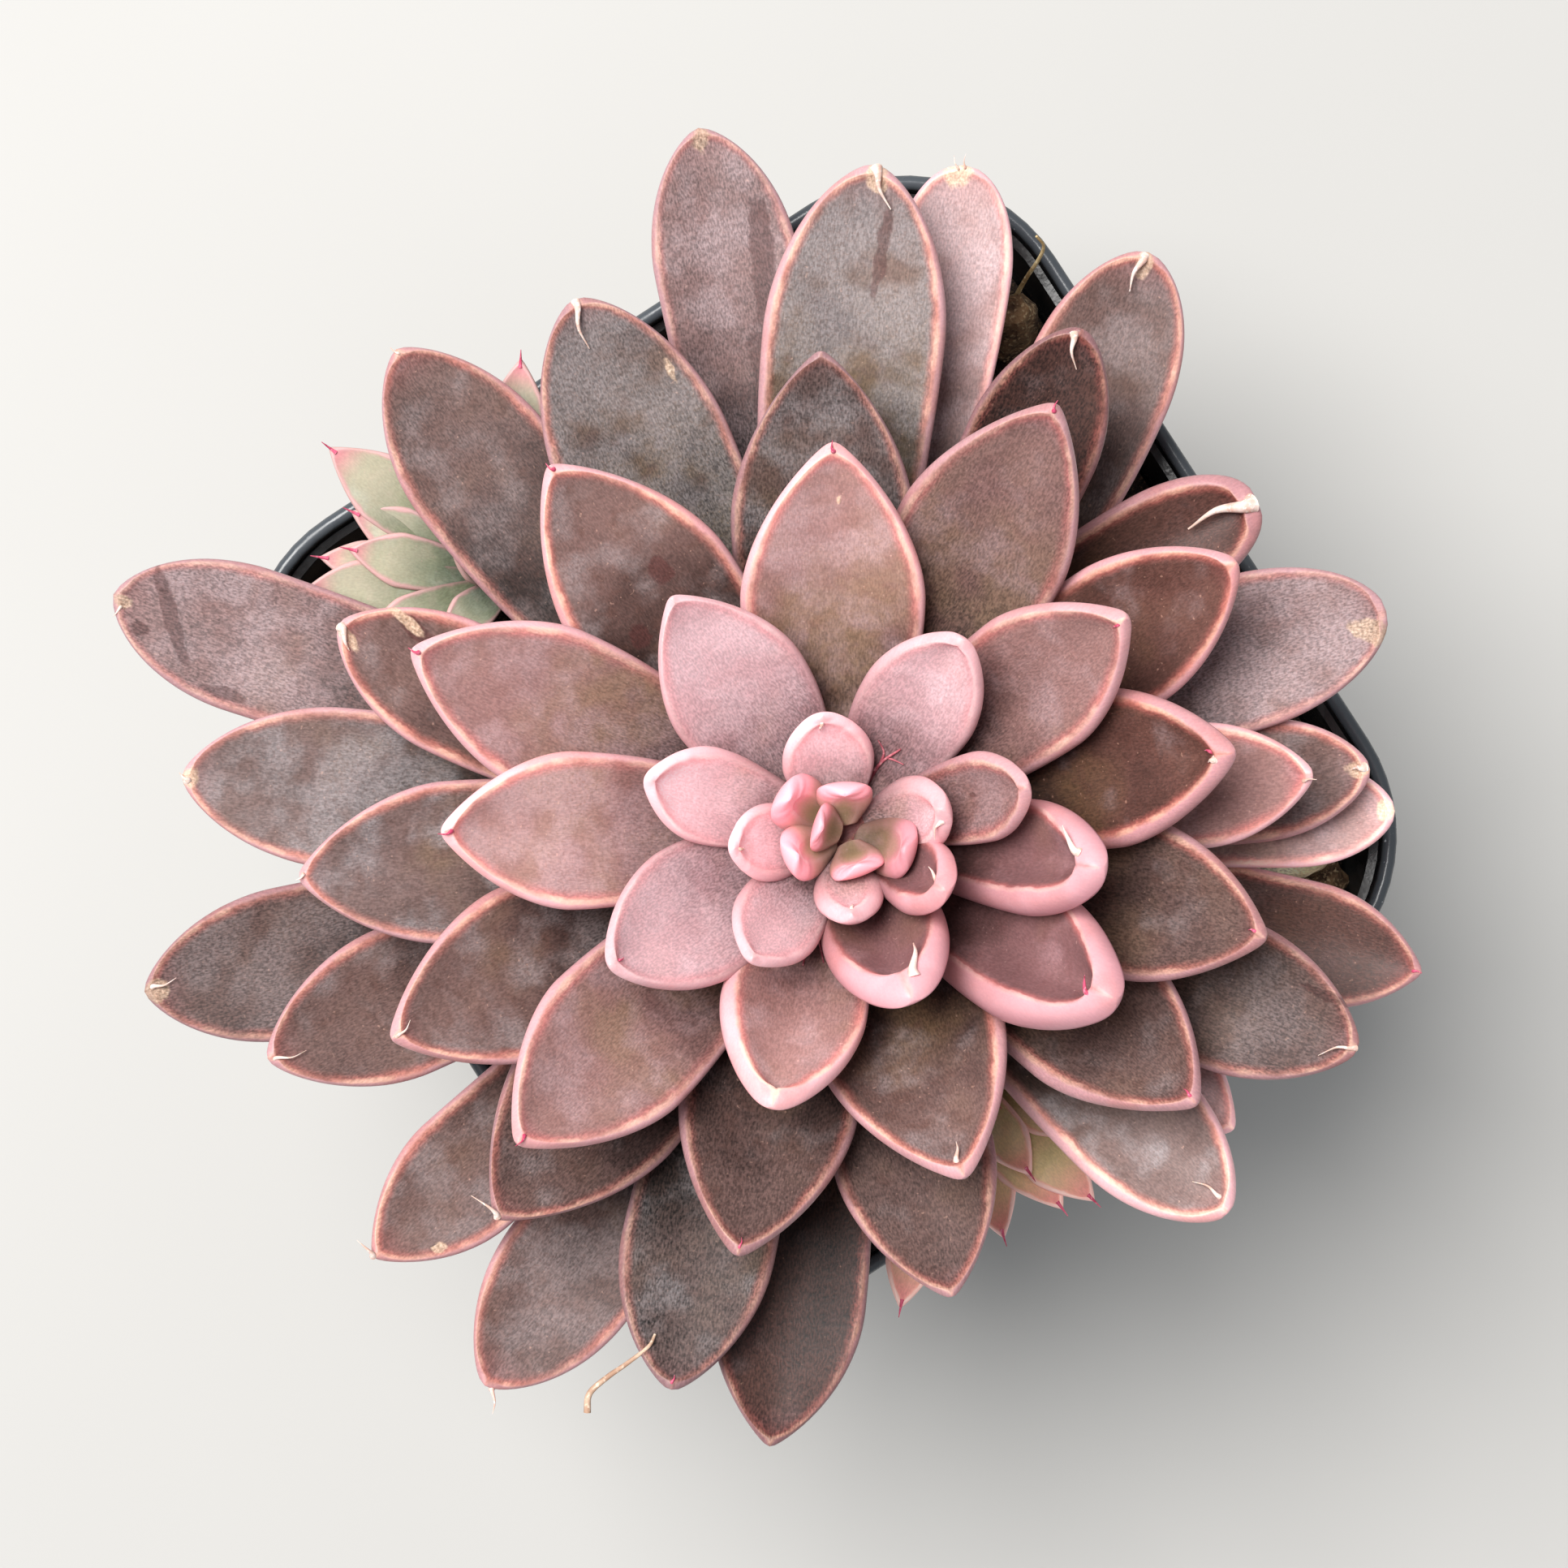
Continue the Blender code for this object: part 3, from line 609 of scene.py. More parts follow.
# Number in the spiral, swing off the rule, reach and width in mm, sideways curl, skin, and how much
# bloom and olive the leaf has, and how much the whole leaf is darkened (lightened below 0), partly its own
# tone and partly painted shade and painted light
leafRows = (
    (0, -4, 2.9, 6.2, 0, "heartLeaf", 0.0, 0.2, 0.15),
    (1, -16, 3.7, 7.0, 0, "heartLeaf", 0.0, 0.3, -0.05),
    (2, 8, 4.6, 7.0, 0, "heartLeaf", 0.0, 0.3, -0.45),
    (3, -18, 6.1, 7.0, 0, "heartLeaf", 0.1, 0.3, -0.5),
    (4, -14, 6.9, 8.0, 0, "heartLeaf", 0.2, 0.3, 0.55),
    (5, 10, 7.8, 7.6, 0, "heartLeaf", 0.2, 0.2, -0.6),
    (6, 0, 9.5, 8.6, 0, "rosyLeaf", 0.2, 0.3, 0.05),
    (7, -38, 11.9, 9.6, 0, "rosyLeaf", 0.3, 0.3, 0.15),
    (8, -3, 13.3, 9.6, 0, "rosyLeaf", 0.5, 0.0, -0.6),
    (9, 3, 13.7, 9.6, 0, "cupLeaf", 0.1, 0.0, 0.1),
    (10, -6, 14.4, 11.4, 0, "rosyLeaf", 0.5, 0.0, -0.6),
    (11, -10, 18.2, 11.4, 0, "rosyLeaf", 0.3, 0.0, 0.1),
    (12, -7, 22.2, 11.0, 0, "mauveLeaf", 0.5, 0.0, 0.5),
    (13, 5, 24.0, 12.0, 0, "rosyLeaf", 0.5, 0.0, -0.6),
    (14, -4, 21.2, 15.4, 0, "cupLeaf", 0.1, 0.0, 0.1),
    (15, -17, 27.1, 14.8, 0, "rosyLeaf", 0.4, 0.0, 0.15),
    (16, -3, 31.3, 17.6, 0, "rosyLeaf", 0.4, 0.0, 0.25),
    (17, 2, 30.7, 14.0, 0, "cupLeaf", 0.1, 0.0, 0.2),
    (18, -3, 34.3, 18.2, 0, "rosyLeaf", 0.5, 0.0, 0.1),
    (19, -10, 33.0, 18.0, 0, "mauveLeaf", 0.3, 0.0, -0.2),
    (20, -7, 41.8, 18.4, 0, "mauveLeaf", 0.3, 0.0, 0.35),
    (21, -2, 46.6, 19.4, 0, "mauveLeaf", 0.6, 0.2, -0.6),
    (22, 10, 37.8, 17.2, -12, "cupLeaf", 0.1, 0.0, 0.25),
    (23, -7, 46.2, 22.8, 0, "mauveLeaf", 0.4, 0.4, -0.3),
    (24, -11, 52.0, 21.2, 0, "mauveLeaf", 0.3, 0.3, 0.3),
    (25, -2, 47.5, 19.4, 11, "maroonLeaf", 0.0, 0.1, 0.2),
    (26, 6, 55.0, 20.8, 0, "mauveLeaf", 0.4, 0.2, 0.05),
    (27, 2, 43.4, 23.4, 0, "duskyLeaf", 0.1, 0.2, 0.2),
    (28, -4, 57.2, 22.2, 0, "mauveLeaf", 0.2, 0.5, 0.8),
    (29, 1, 58.2, 21.8, 0, "duskyLeaf", 0.4, 0.0, 0.2),
    (30, 4, 52.4, 19.8, 7, "duskyLeaf", 0.1, 0.2, 0.75),
    (31, 8, 56.2, 22.6, 0, "duskyLeaf", 0.2, 0.0, -0.25),
    (32, 0, 52.0, 22.2, 0, "duskyLeaf", 0.1, 0.0, 0.9),
    (33, -2, 58.3, 19.0, 0, "maroonLeaf", 0.2, 0.1, 0),
    (34, 12, 64.8, 20.2, 0, "slateLeaf", 0.3, 0.0, 0.15),
    (35, 12, 54.7, 20.8, 12, "duskyLeaf", 0.1, 0.3, 0.65),
    (36, 2, 58.9, 23.2, 0, "slateLeaf", 0.4, 0.1, 0.95),
    (37, 3, 62.1, 23.0, 0, "duskyLeaf", 0.1, 0.0, 0.9),
    (38, 2, 59.0, 15.6, 0, "mauveLeaf", 0.1, 0.1, 0.0),
    (39, 15, 66.0, 17.6, 18, "duskyLeaf", 0.1, 0.2, 0.05),
    (40, 5, 58.7, 20.2, 0, "duskyLeaf", 0.1, 0.0, 0.8),
    (41, 5, 69.4, 17.0, -12, "maroonLeaf", 0.0, 0.0, 1.2),
    (42, 7, 74.6, 19.4, 0, "duskyLeaf", 0.3, 0.0, 0.5),
    (43, 4, 69.5, 19.2, 0, "duskyLeaf", 0.3, 0.2, 0.95),
    (44, 4, 73.5, 23.2, 5, "slateLeaf", 0.7, 0.5, 0.75),
    (45, 6, 71.5, 19.4, -12, "slateLeaf", 0.3, 0.0, 1.2),
    (46, -6, 74.2, 19.6, 12, "lilacLeaf", 0.6, 0.0, 0.65),
    (47, 11, 81.0, 20.6, 0, "slateLeaf", 0.5, 0.0, 0.25),
    (48, 14, 68.6, 17.6, 0, "slateLeaf", 0.2, 0.1, -0.3),
    (49, 5, 83.9, 23.4, 6, "slateLeaf", 0.6, 0.5, 0.25),
    (50, 6, 77.9, 16.8, 8, "duskyLeaf", 0.3, 0.0, 0.45),
    (51, 10, 68.8, 15.8, 0, "duskyLeaf", 0.3, 0.2, 0.35),
    (52, -2, 82.0, 20.4, 16, "duskyLeaf", 0.3, 0.0, 0.6),
    (53, -6, 77.4, 19.6, 9, "maroonLeaf", 0.1, 0.0, 1.2),
    (54, -13, 69.6, 15.6, 24, "maroonLeaf", 0.0, 0.1, 0.55),
    (55, 7, 88.6, 19.8, 8, "duskyLeaf", 0.5, 0.0, 0.95),
    (56, -1, 64.7, 16.0, 0, "lilacLeaf", 0.3, 0.0, -0.6),
    (57, -3, 91.1, 19.0, -6, "lilacLeaf", 0.4, 0.0, 0.7),
    (58, -1, 82.7, 19.2, 18, "duskyLeaf", 0.5, 0.0, 0.55),
    (59, -17, 73.0, 14.0, 0, "lilacLeaf", 0.3, 0.3, -0.9),
    (60, 6, 95.8, 19.4, 2, "lilacLeaf", 0.4, 0.0, 0.75),
    (62, -12, 85.7, 19.6, -25, "duskyLeaf", 0.4, 0.1, 0.45),
    (64, -1, 78.7, 16.0, 0, "maroonLeaf", 0.1, 0.1, 0.6),
    (70, -17, 87.6, 16.2, -14, "lilacLeaf", 0.5, 0.0, -0.4),
)
# The youngest leaves curl over the heart by this much more, in degrees
heartCurl = {0: 30, 1: 30, 2: 30, 3: 25, 4: 20, 5: 20}
# Leaves whose tips are blunter than the rule: a smaller value is rounder
bluntTips = {
    0: 0.6, 1: 0.6, 2: 0.6, 3: 0.6, 4: 0.6, 5: 0.6, 7: 0.7, 9: 0.62, 12: 0.72, 14: 0.62, 15: 0.66, 16: 0.75,
    17: 0.62, 19: 0.72, 22: 0.66, 33: 0.75, 34: 0.8, 38: 0.75, 39: 0.7, 41: 0.65, 42: 0.75, 43: 0.7,
    44: 0.65, 45: 0.75, 46: 0.55, 47: 0.7, 48: 0.65, 49: 0.65, 51: 0.65, 52: 0.72, 54: 0.45, 55: 0.72,
    57: 0.68, 58: 0.72, 59: 0.6, 60: 0.65, 62: 0.6, 70: 0.5,
}
# Rims: how far in from the outline the crest lies, how far the flank drops, how far the rim stands
# up at the tip, how much wider the one flank is than the other, the flank's width at the tip, in mm,
# and for some how deep the face is dished, as a share of half its width
usualRims = (
    (14, (0.9, 0.9, 0.2, 0.0, 1.2, 0.05)), (34, (1.0, 0.9, 0.3, 0.0, 1.2)), (99, (0.8, 0.8, 0.1, 0.0, 0.9)),
)
leafRims = {
    0: (1.3, 1.0, 0.0, 0.0, 1.2, 0.0), 1: (1.6, 1.3, 0.0, 0.0, 1.8, 0.0), 2: (2.0, 1.5, 0.0, 0.0, 2.0, 0.0),
    3: (2.0, 1.6, 0.0, 0.0, 2.2, 0.0), 4: (1.8, 1.5, 0.0, 0.0, 1.8, 0.0), 5: (2.2, 1.7, 0.1, 0.1, 2.4, 0.0),
    6: (1.5, 1.4, 0.2, 0.0, 2.0, 0.03), 7: (1.5, 1.4, 0.3, 0.2, 1.8, 0.03),
    8: (0.9, 0.9, 0.2, 0.2, 1.2, 0.03), 9: (1.3, 1.3, 0.9, -0.4, 1.8, 0.16),
    10: (0.8, 0.9, 0.2, 0.0, 1.6, 0.03), 12: (0.9, 0.9, 0.5, 0.15, 1.2, 0.1),
    13: (0.85, 0.85, 0.4, -0.3, 1.2, 0.06), 14: (1.5, 1.6, 1.4, -0.2, 4.2, 0.18),
    16: (0.7, 0.75, 0.3, 0.25, 1.2), 17: (1.9, 1.8, 1.4, -0.6, 3.0, 0.18), 18: (0.7, 0.7, 0.2, 0.0, 0.8),
    19: (1.2, 1.2, 0.8, -0.4, 2.4), 20: (1.1, 1.1, 0.5, -0.2, 1.3), 22: (2.1, 2.0, 1.4, -0.6, 2.8, 0.18),
    25: (1.2, 1.2, 0.8, -0.3, 2.4, 0.14), 27: (1.1, 1.0, 0.4, 0.3, 1.4), 35: (1.1, 1.0, 0.4, -0.4, 1.2),
    48: (1.0, 1.0, 0.4, -0.4, 1.2), 49: (1.1, 1.0, 0.3, 0.0, 1.2), 54: (1.3, 1.2, 0.5, 0.0, 2.0),
}
# How softly the face of a leaf runs over its crest, for each skin
softCrests = {
    "heartLeaf": 1.0, "rosyLeaf": 0.9, "cupLeaf": 0.75, "mauveLeaf": 0.5, "duskyLeaf": 0.3, "slateLeaf": 0.3,
    "maroonLeaf": 0.3, "lilacLeaf": 0.3,
}


def leafAge(number):
    return min(1.0, number / rosette["oldest"])


def stemRadius(number):
    thin = rosette["stemThin"]
    return thin + (rosette["stemThick"] - thin) * leafAge(number) ** 0.6


def leafSize(length, width, pointLength=rosette["pointLength"]):
    peak = 1 - min(0.55, pointLength * width / length)
    return {"Length": length * mm, "Width": width * mm, "Peak": peak}


def leafGrowth(row):
    # Where a leaf of the head starts, how it runs and what its form needs, in metres and radians
    number, swing, reach, width, curl, skin, bloom, olive, dark = row
    age = leafAge(number)
    inner = 1 - age
    turn = rosette["firstLeaf"] + number * rosette["goldenStep"] + swing
    steep = rosette["steepMean"] + rosette["steepSwing"] * cos(radians(turn - rosette["steepSide"]))
    steep *= min(1, age / rosette["steepFade"])
    rise = radians(rosette["oldRise"] + rosette["heartRise"] * inner ** 2 + steep)
    bend = radians(rosette["oldBend"] + rosette["heartBend"] * inner ** 1.3 + heartCurl.get(number, 0))
    root = rosette["rootDepth"] * stemRadius(number)
    steps = 20
    spread = sum(cos(rise + bend * ((i + 0.5) / steps - 0.5)) for i in range(steps)) / steps
    length = (reach - root) / spread
    direction = radians(turn)
    start = rosette["crown"].lerp(rosette["foot"], age) + root * Vector((cos(direction), sin(direction), 0))
    midrib = midribMesh(start * mm, direction, rise, bend, radians(curl), length * mm)
    rim = leafRims.get(number) or next(sizes for below, sizes in usualRims if number < below)
    rounding = (1.0 if number in leafRims else min(1.0, width / 10)) * mm
    rows, around = rosette["smallGrid"] if width < rosette["smallLeaf"] else rosette["usualGrid"]
    values = {
        **leafSize(length, width), "Foot": rosette["leafFoot"],
        "Point": 1.7 + 2 * max(0.0, inner - 0.7) + 0.7 * max(0.0, 0.6 - inner),
        "Tip Round": bluntTips.get(number, rosette["usualTip"]),
        "Thickness": (rosette["thinnest"] + rosette["thickening"] * width) * mm,
        "Cup": rim[5] if len(rim) > 5 else rosette["usualCup"],
        "Rim Inset": rim[0] * rounding, "Rim Drop": rim[1] * rounding, "Rim Lift": rim[2] * rounding,
        "Rim Skew": float(rim[3]), "Tip Band": rim[4] * rounding, "Soft Crest": softCrests[skin],
        "Ripple": 0.12 * mm, "Seed": float(number), "Tone": (float(bloom), float(olive), float(dark)),
        "Rows": rows, "Around": around, "Skin": skins[skin],
    }
    return "leaf_%02d" % number, midrib, leafForm, values


leafJobs = [leafGrowth(row) for row in leafRows]
midribs = {row[0]: [Vector(v.co) for v in job[1].vertices] for row, job in zip(leafRows, leafJobs)}
# Old marks on the leaves: leaf, kind, how far back from the tip and to the left of the midrib the
# mark's middle lies, its half length and half width in mm, and how far it is turned to the left
marks = (
    (60, "scar", 8.0, 0.5, 7.5, 1.0, 55), (60, "scar", 17.5, 7.6, 3.0, 0.8, 0),
    (60, "scar", 4.5, 3.2, 1.4, 0.9, 0), (60, "cork", 1.4, 0.4, 1.2, 0.8, 0),
    (39, "cork", 7.0, -4.6, 3.4, 0.6, 10), (39, "scar", 9.0, -4.2, 3.0, 1.0, 10),
    (39, "cork", 1.6, 0.8, 2.2, 0.7, 20), (57, "scar", 22.0, -4.5, 12.0, 1.6, 4),
    (57, "scar", 36.0, -2.5, 9.0, 2.4, 0), (57, "cork", 1.5, 0.0, 1.6, 1.2, 0),
    (49, "scar", 11.0, -2.2, 6.0, 0.8, 4), (49, "cork", 1.6, -0.4, 2.0, 1.4, 0),
    (55, "cork", 1.4, 0.0, 1.6, 1.4, 0), (70, "cork", 1.2, 0.6, 1.6, 2.2, 0),
    (46, "cork", 2.2, -2.0, 3.0, 1.4, 30), (51, "cork", 1.6, 0.2, 1.6, 1.0, 0),
    (23, "cork", 8.2, -0.6, 0.7, 0.3, 0), (50, "cork", 7.0, 4.6, 0.9, 0.6, 0),
    (53, "scar", 20.0, -4.0, 8.0, 1.2, 0), (47, "cork", 1.0, 0.2, 1.2, 1.2, 0),
    (43, "scar", 6.0, 4.6, 4.0, 0.6, 0), (62, "cork", 1.6, 0.0, 1.8, 1.2, 0),
    (59, "cork", 1.2, 0.0, 1.2, 1.2, 0), (31, "scar", 20.0, -3.0, 2.0, 1.4, 0),
    (31, "scar", 25.0, 4.0, 1.8, 1.2, 0), (44, "cork", 13.0, -7.6, 2.0, 0.4, 0),
    (12, "scar", 12.0, 0.5, 0.6, 0.4, 0),
)


def addMarks(number, leaf, length):
    mesh = leaf.data
    flat = [item.vector for item in mesh.attributes["flat"].data]
    for kind in ("scar", "cork"):
        values = [0.0] * len(flat)
        for on, what, back, aside, halfLong, halfWide, turn in marks:
            if on != number or what != kind:
                continue
            along = Vector((sin(radians(turn)), -cos(radians(turn)), 0))
            middle = Vector((aside * mm, length - back * mm, 0))
            for i, place in enumerate(flat):
                away = Vector((place.x, place.y, 0)) - middle
                far = (away.dot(along) / (halfLong * mm)) ** 2 + (away.cross(along).z / (halfWide * mm)) ** 2
                values[i] = max(values[i], 1 - 0.5 * far)
        mesh.attributes.new(kind, "FLOAT", "POINT").data.foreach_set("value", values)


leaves = dict(zip(midribs, grow(leafJobs)))
for number, job in zip(midribs, leafJobs):
    if any(mark[0] == number for mark in marks):
        addMarks(number, leaves[number], job[3]["Length"])
for leaf in leaves.values():
    keep(leaf, "rosette")
print("leaves:", len(leafJobs))
surfaces = {}


def surfaceOf(number):
    # The skin of a finished leaf, to find points on it
    if number not in surfaces:
        surfaces[number] = BVHTree.FromObject(leaves[number], bpy.context.evaluated_depsgraph_get())
    return surfaces[number]


def flutedRing(count, radius, height, centre, rough, seed):
    ring = []
    for step in range(count):
        turn = 2 * pi * step / count
        lump = noise.noise(Vector((cos(turn) * 1.7, sin(turn) * 1.7, height * 0.25 + seed)))
        reach = radius * (1 + rough * lump)
        ring.append(Vector((centre.x + reach * cos(turn), centre.y + reach * sin(turn), height)) * mm)
    return ring


def ringMesh(name, rings, closed):
    # A mesh over rings of points, given in metres
    form = bmesh.new()
    loops = [[form.verts.new(point) for point in ring] for ring in rings]
    for near, far in zip(loops, loops[1:]):
        for i in range(len(near)):
            j = (i + 1) % len(near)
            form.faces.new((near[i], near[j], far[j], far[i]))
    if closed:
        form.faces.new(list(reversed(loops[0])))
        form.faces.new(loops[-1])
        bmesh.ops.recalc_face_normals(form, faces=form.faces)
    mesh = bpy.data.meshes.new(name)
    form.to_mesh(mesh)
    form.free()
    return mesh


def skinned(name, rings, material):
    mesh = ringMesh(name, rings, closed=True)
    mesh.shade_smooth()
    mesh.set_sharp_from_angle(angle=radians(50))
    mesh.materials.append(material)
    return linked(name, mesh)


def patternMaterial(name, settings, colours, scales, bump):
    # Two noises mix three colours on Object coordinates; colours and scales are dark, middle, light
    made, tree, shader = plainMaterial(name, settings)
    place = objectPlace(tree)
    broad = cloud(place, scales[0], 4.0)
    fine = cloud(place, scales[1], 3.0)
    colour = mixColour(broad.ramp(0.35, 0.65), tint(*colours[0]), tint(*colours[1]))
    colour = mixColour(fine.ramp(0.5, 0.75), colour, tint(*colours[2]))
    feed(shader.inputs["Base Color"], colour)
    feed(shader.inputs["Roughness"], settings["Roughness"] + (fine - 0.5) * 0.3)
    bumped(tree, shader, broad * bump + fine * bump * 0.5)
    return made


barkSkin = patternMaterial(
    "woodyStem", {"Roughness": 0.85}, ((66, 42, 34), (112, 84, 66), (150, 128, 106)), (300, 1400), 0.6)
stemSkin = patternMaterial(
    "freshStem", {"Roughness": 0.6}, ((84, 30, 34), (126, 62, 58), (150, 110, 86)), (300, 1400), 0.3)
stem = {"bottom": 66, "top": 144, "rings": 30, "points": 36, "rough": 0.12}
stemRings = []
for step in range(stem["rings"]):
    height = stem["bottom"] + (stem["top"] - stem["bottom"]) * step / (stem["rings"] - 1)
    part = max(0.0, (height - rosette["foot"].z) / (rosette["crown"].z - rosette["foot"].z))
    centre = rosette["foot"].lerp(rosette["crown"], part)
    radius = stemRadius((1 - part) * rosette["oldest"])
    stemRings.append(flutedRing(stem["points"], radius, height, centre, stem["rough"], 3.0))
keep(skinned("rosetteStem", stemRings, stemSkin), "rosette")


# Spines on the leaf tips, for each skin: leaf, start and end of the spine (each mm back from the tip
# and mm to its left), how high its end stands off the leaf, and its thickness at the start
threadForm = makeThreadForm()
spineRows = {
    "dryTip": (
        (7, 1.6, -1.4, 2.9, -3.3, 0.8, 0.5), (9, 2.0, 0.4, 4.1, 1.5, 1.0, 0.55),
        (10, 1.4, 0.1, 2.9, 0.4, 0.2, 0.45), (14, 2.6, 1.3, 7.2, 2.8, 1.2, 1.0),
        (17, 2.9, 1.4, 5.1, 4.3, 1.4, 0.8), (25, 2.4, -0.6, 3.2, -0.8, 0.3, 0.7),
        (27, 2.4, -0.2, 4.7, 0.6, 0.8, 0.6), (29, 0.6, 0.1, 2.9, -1.0, 0.5, 0.4),
        (37, 0.3, 0.0, -0.2, -4.1, 0.6, 0.6), (50, 0.2, -0.1, -0.3, -3.0, 0.6, 0.6),
        (34, 0.6, -0.3, -0.6, 0.3, 0.2, 0.4), (41, 1.0, 0.7, 4.9, -1.2, 0.6, 0.75),
        (42, 0.7, 0.3, 4.8, 0.9, 0.4, 0.4), (43, 0.3, 0.1, 4.0, -2.5, 0.5, 0.5),
        (44, 0.4, 0.0, 6.4, 0.7, 0.5, 0.8), (49, 0.5, -0.2, 5.2, -2.7, 0.6, 1.0),
        (54, 0.7, 0.0, 9.2, 0.4, 1.6, 1.6), (55, 1.0, -0.4, 4.2, -1.0, 0.5, 0.5),
        (62, 0.7, 0.4, 5.4, 0.7, 0.8, 0.9), (48, 2.1, 0.8, 5.8, -0.2, 0.8, 0.5),
        (58, 0.4, 1.0, -2.2, 3.0, 0.4, 0.5), (38, 1.2, -0.7, -0.6, -0.7, 0.3, 0.45),
        (39, 0.5, 0.2, 2.8, 2.2, 0.1, 0.9), (47, 0.8, 0.5, -0.4, -0.4, 0.2, 0.7),
        (60, 1.4, 1.2, 0.9, 2.7, 0.1, 0.4), (52, 0.7, 0.0, -0.6, 0.5, 0.1, 0.4),
        (70, 0.7, 0.7, -1.1, 1.5, 0.3, 0.3), (70, 0.5, -0.1, -1.5, 0.0, 0.3, 0.3),
        (8, 1.1, 0.2, 2.5, 0.1, 0.2, 0.4), (6, 1.6, 0.1, 2.7, 0.3, 0.2, 0.4),
        (51, 0.8, 0.3, 2.3, 0.2, 0.3, 0.9),
    ),
    "roseTip": (
        (22, 2.9, -0.8, 4.9, 1.0, 1.0, 0.5), (25, 2.8, 0.4, 3.9, 0.6, 0.3, 0.45),
        (24, 1.2, 0.0, -0.6, 0.1, 0.1, 0.45), (64, 1.1, -0.1, -0.1, -0.1, 0.1, 0.4),
        (21, 1.1, 0.0, -0.8, 0.3, 0.1, 0.5), (26, 0.8, 0.0, -0.7, -0.1, 0.1, 0.5),
        (28, 0.8, -0.1, -0.7, 0.1, 0.1, 0.5), (23, 0.9, 0.0, -0.6, 0.1, 0.1, 0.5),
        (31, 0.7, -0.2, -0.6, 0.1, 0.1, 0.45), (30, 1.4, 0.4, 2.3, 0.3, 0.3, 0.4),
        (35, 1.1, 0.2, 2.4, 0.3, 0.3, 0.4), (20, 1.1, -0.2, 2.3, -0.2, 0.2, 0.35),
        (16, 1.5, 0.0, 2.7, 0.0, 0.2, 0.35), (32, 0.8, 0.0, 2.2, 0.0, 0.3, 0.3),
        (45, 0.8, -0.1, 1.8, 0.1, 0.2, 0.35),
    ),
}
spineSizes = {
    "sink": 0.35, "arch": 0.3, "bow": 0.1, "end": 0.1, "flare": 1.35, "girth": 0.85, "sides": 12, "above": 12,
}
spineSkins = {
    "dryTip": patternMaterial(
        "dryTip", {"Roughness": 0.55, "Subsurface Weight": 0.15, "Subsurface Scale": 0.001},
        ((222, 180, 164), (246, 222, 212), (255, 246, 240)), (500, 2400), 0.08),
    "roseTip": patternMaterial(
        "roseTip", {"Roughness": 0.5}, ((196, 62, 98), (226, 96, 130), (244, 164, 180)), (500, 2400), 0.05),
}


def spineLine(number, back, left, endBack, endLeft, lift, thickness):
    tip = midribs[number][-1]
    out = (tip - midribs[number][-2]).normalized()
    side = Vector((0, 0, 1)).cross(out).normalized()
    up = out.cross(side)

    def onLeaf(behind, aside):
        place = tip - out * behind * mm + side * aside * mm
        return surfaceOf(number).ray_cast(place + up * spineSizes["above"] * mm, -up)[0] or place

    root = onLeaf(back, left)
    end = onLeaf(endBack, endLeft) + up * lift * mm
    reach = (end - root).length
    middle = root.lerp(end, 0.5) + up * spineSizes["arch"] * 0.4 * reach + side * spineSizes["bow"] * reach
    points = smoothPath([
        root - up * spineSizes["sink"] * mm, root.lerp(end, 0.12) + up * 0.05 * reach, middle, end])
    last = len(points) - 1
    slim = [spineSizes["end"] + (1 - spineSizes["end"]) * (1 - i / last) ** spineSizes["flare"]
            for i in range(last + 1)]
    return lineMesh(points, [thickness * spineSizes["girth"] * mm * share for share in slim])


for look, rows in spineRows.items():
    jobs = [("spine", spineLine(*row), threadForm, {
        "Sides": spineSizes["sides"], "Seed": float(row[0]), "Skin": spineSkins[look]}) for row in rows]
    keep(joined("spines_" + look, grow(jobs)), None)
print("spines:", sum(len(rows) for rows in spineRows.values()))

# Thin fallen bits that rest on the leaves
bitSkins = {
    "rosyBit": patternMaterial(
        "rosyBit", {"Roughness": 0.6}, ((140, 62, 76), (186, 98, 110), (222, 150, 156)), (400, 1900), 0.1),
    "paleBit": patternMaterial(
        "paleBit", {"Roughness": 0.7}, ((178, 140, 116), (222, 190, 164), (244, 222, 200)), (300, 1700), 0.1),
}
# Skin, thickness, the leaves that carry the bit, and its points, in mm
bitRows = (
    ("rosyBit", 0.5, (19, 24, 27), ((-14.6, -17.0), (-15.4, -19.4), (-16.8, -20.9))),
    ("rosyBit", 0.45, (19, 27), ((-13.3, -17.6), (-13.7, -19.9), (-14.5, -22.0))),
    ("rosyBit", 0.35, (19, 24), ((-14.9, -17.0), (-15.8, -17.7), (-16.7, -18.5))),
    ("rosyBit", 0.6, (15, 23), ((2.2, -6.4), (4.8, -5.3), (7.7, -5.2))),
    ("rosyBit", 0.4, (15, 23), ((4.6, -5.4), (5.8, -4.4), (6.0, -2.8))),
    ("rosyBit", 0.35, (15, 20), ((5.8, -5.2), (6.4, -6.0), (7.0, -7.0))),
    ("paleBit", 0.9, (45, 58, 50), (
        (-69.0, -52.6), (-67.5, -50.8), (-64.6, -50.3), (-61.7, -50.2), (-58.3, -49.9), (-56.9, -49.2))),
)


def settle(x, y, carriers, usual):
    # Height of the highest of these leaves at a point, or the usual one beside them
    heights = []
    for number in carriers:
        hit = surfaceOf(number).ray_cast(Vector((x, y, 250)) * mm, Vector((0, 0, -1)))[0]
        heights += [hit.z] if hit else []
    return max(heights) if heights else usual


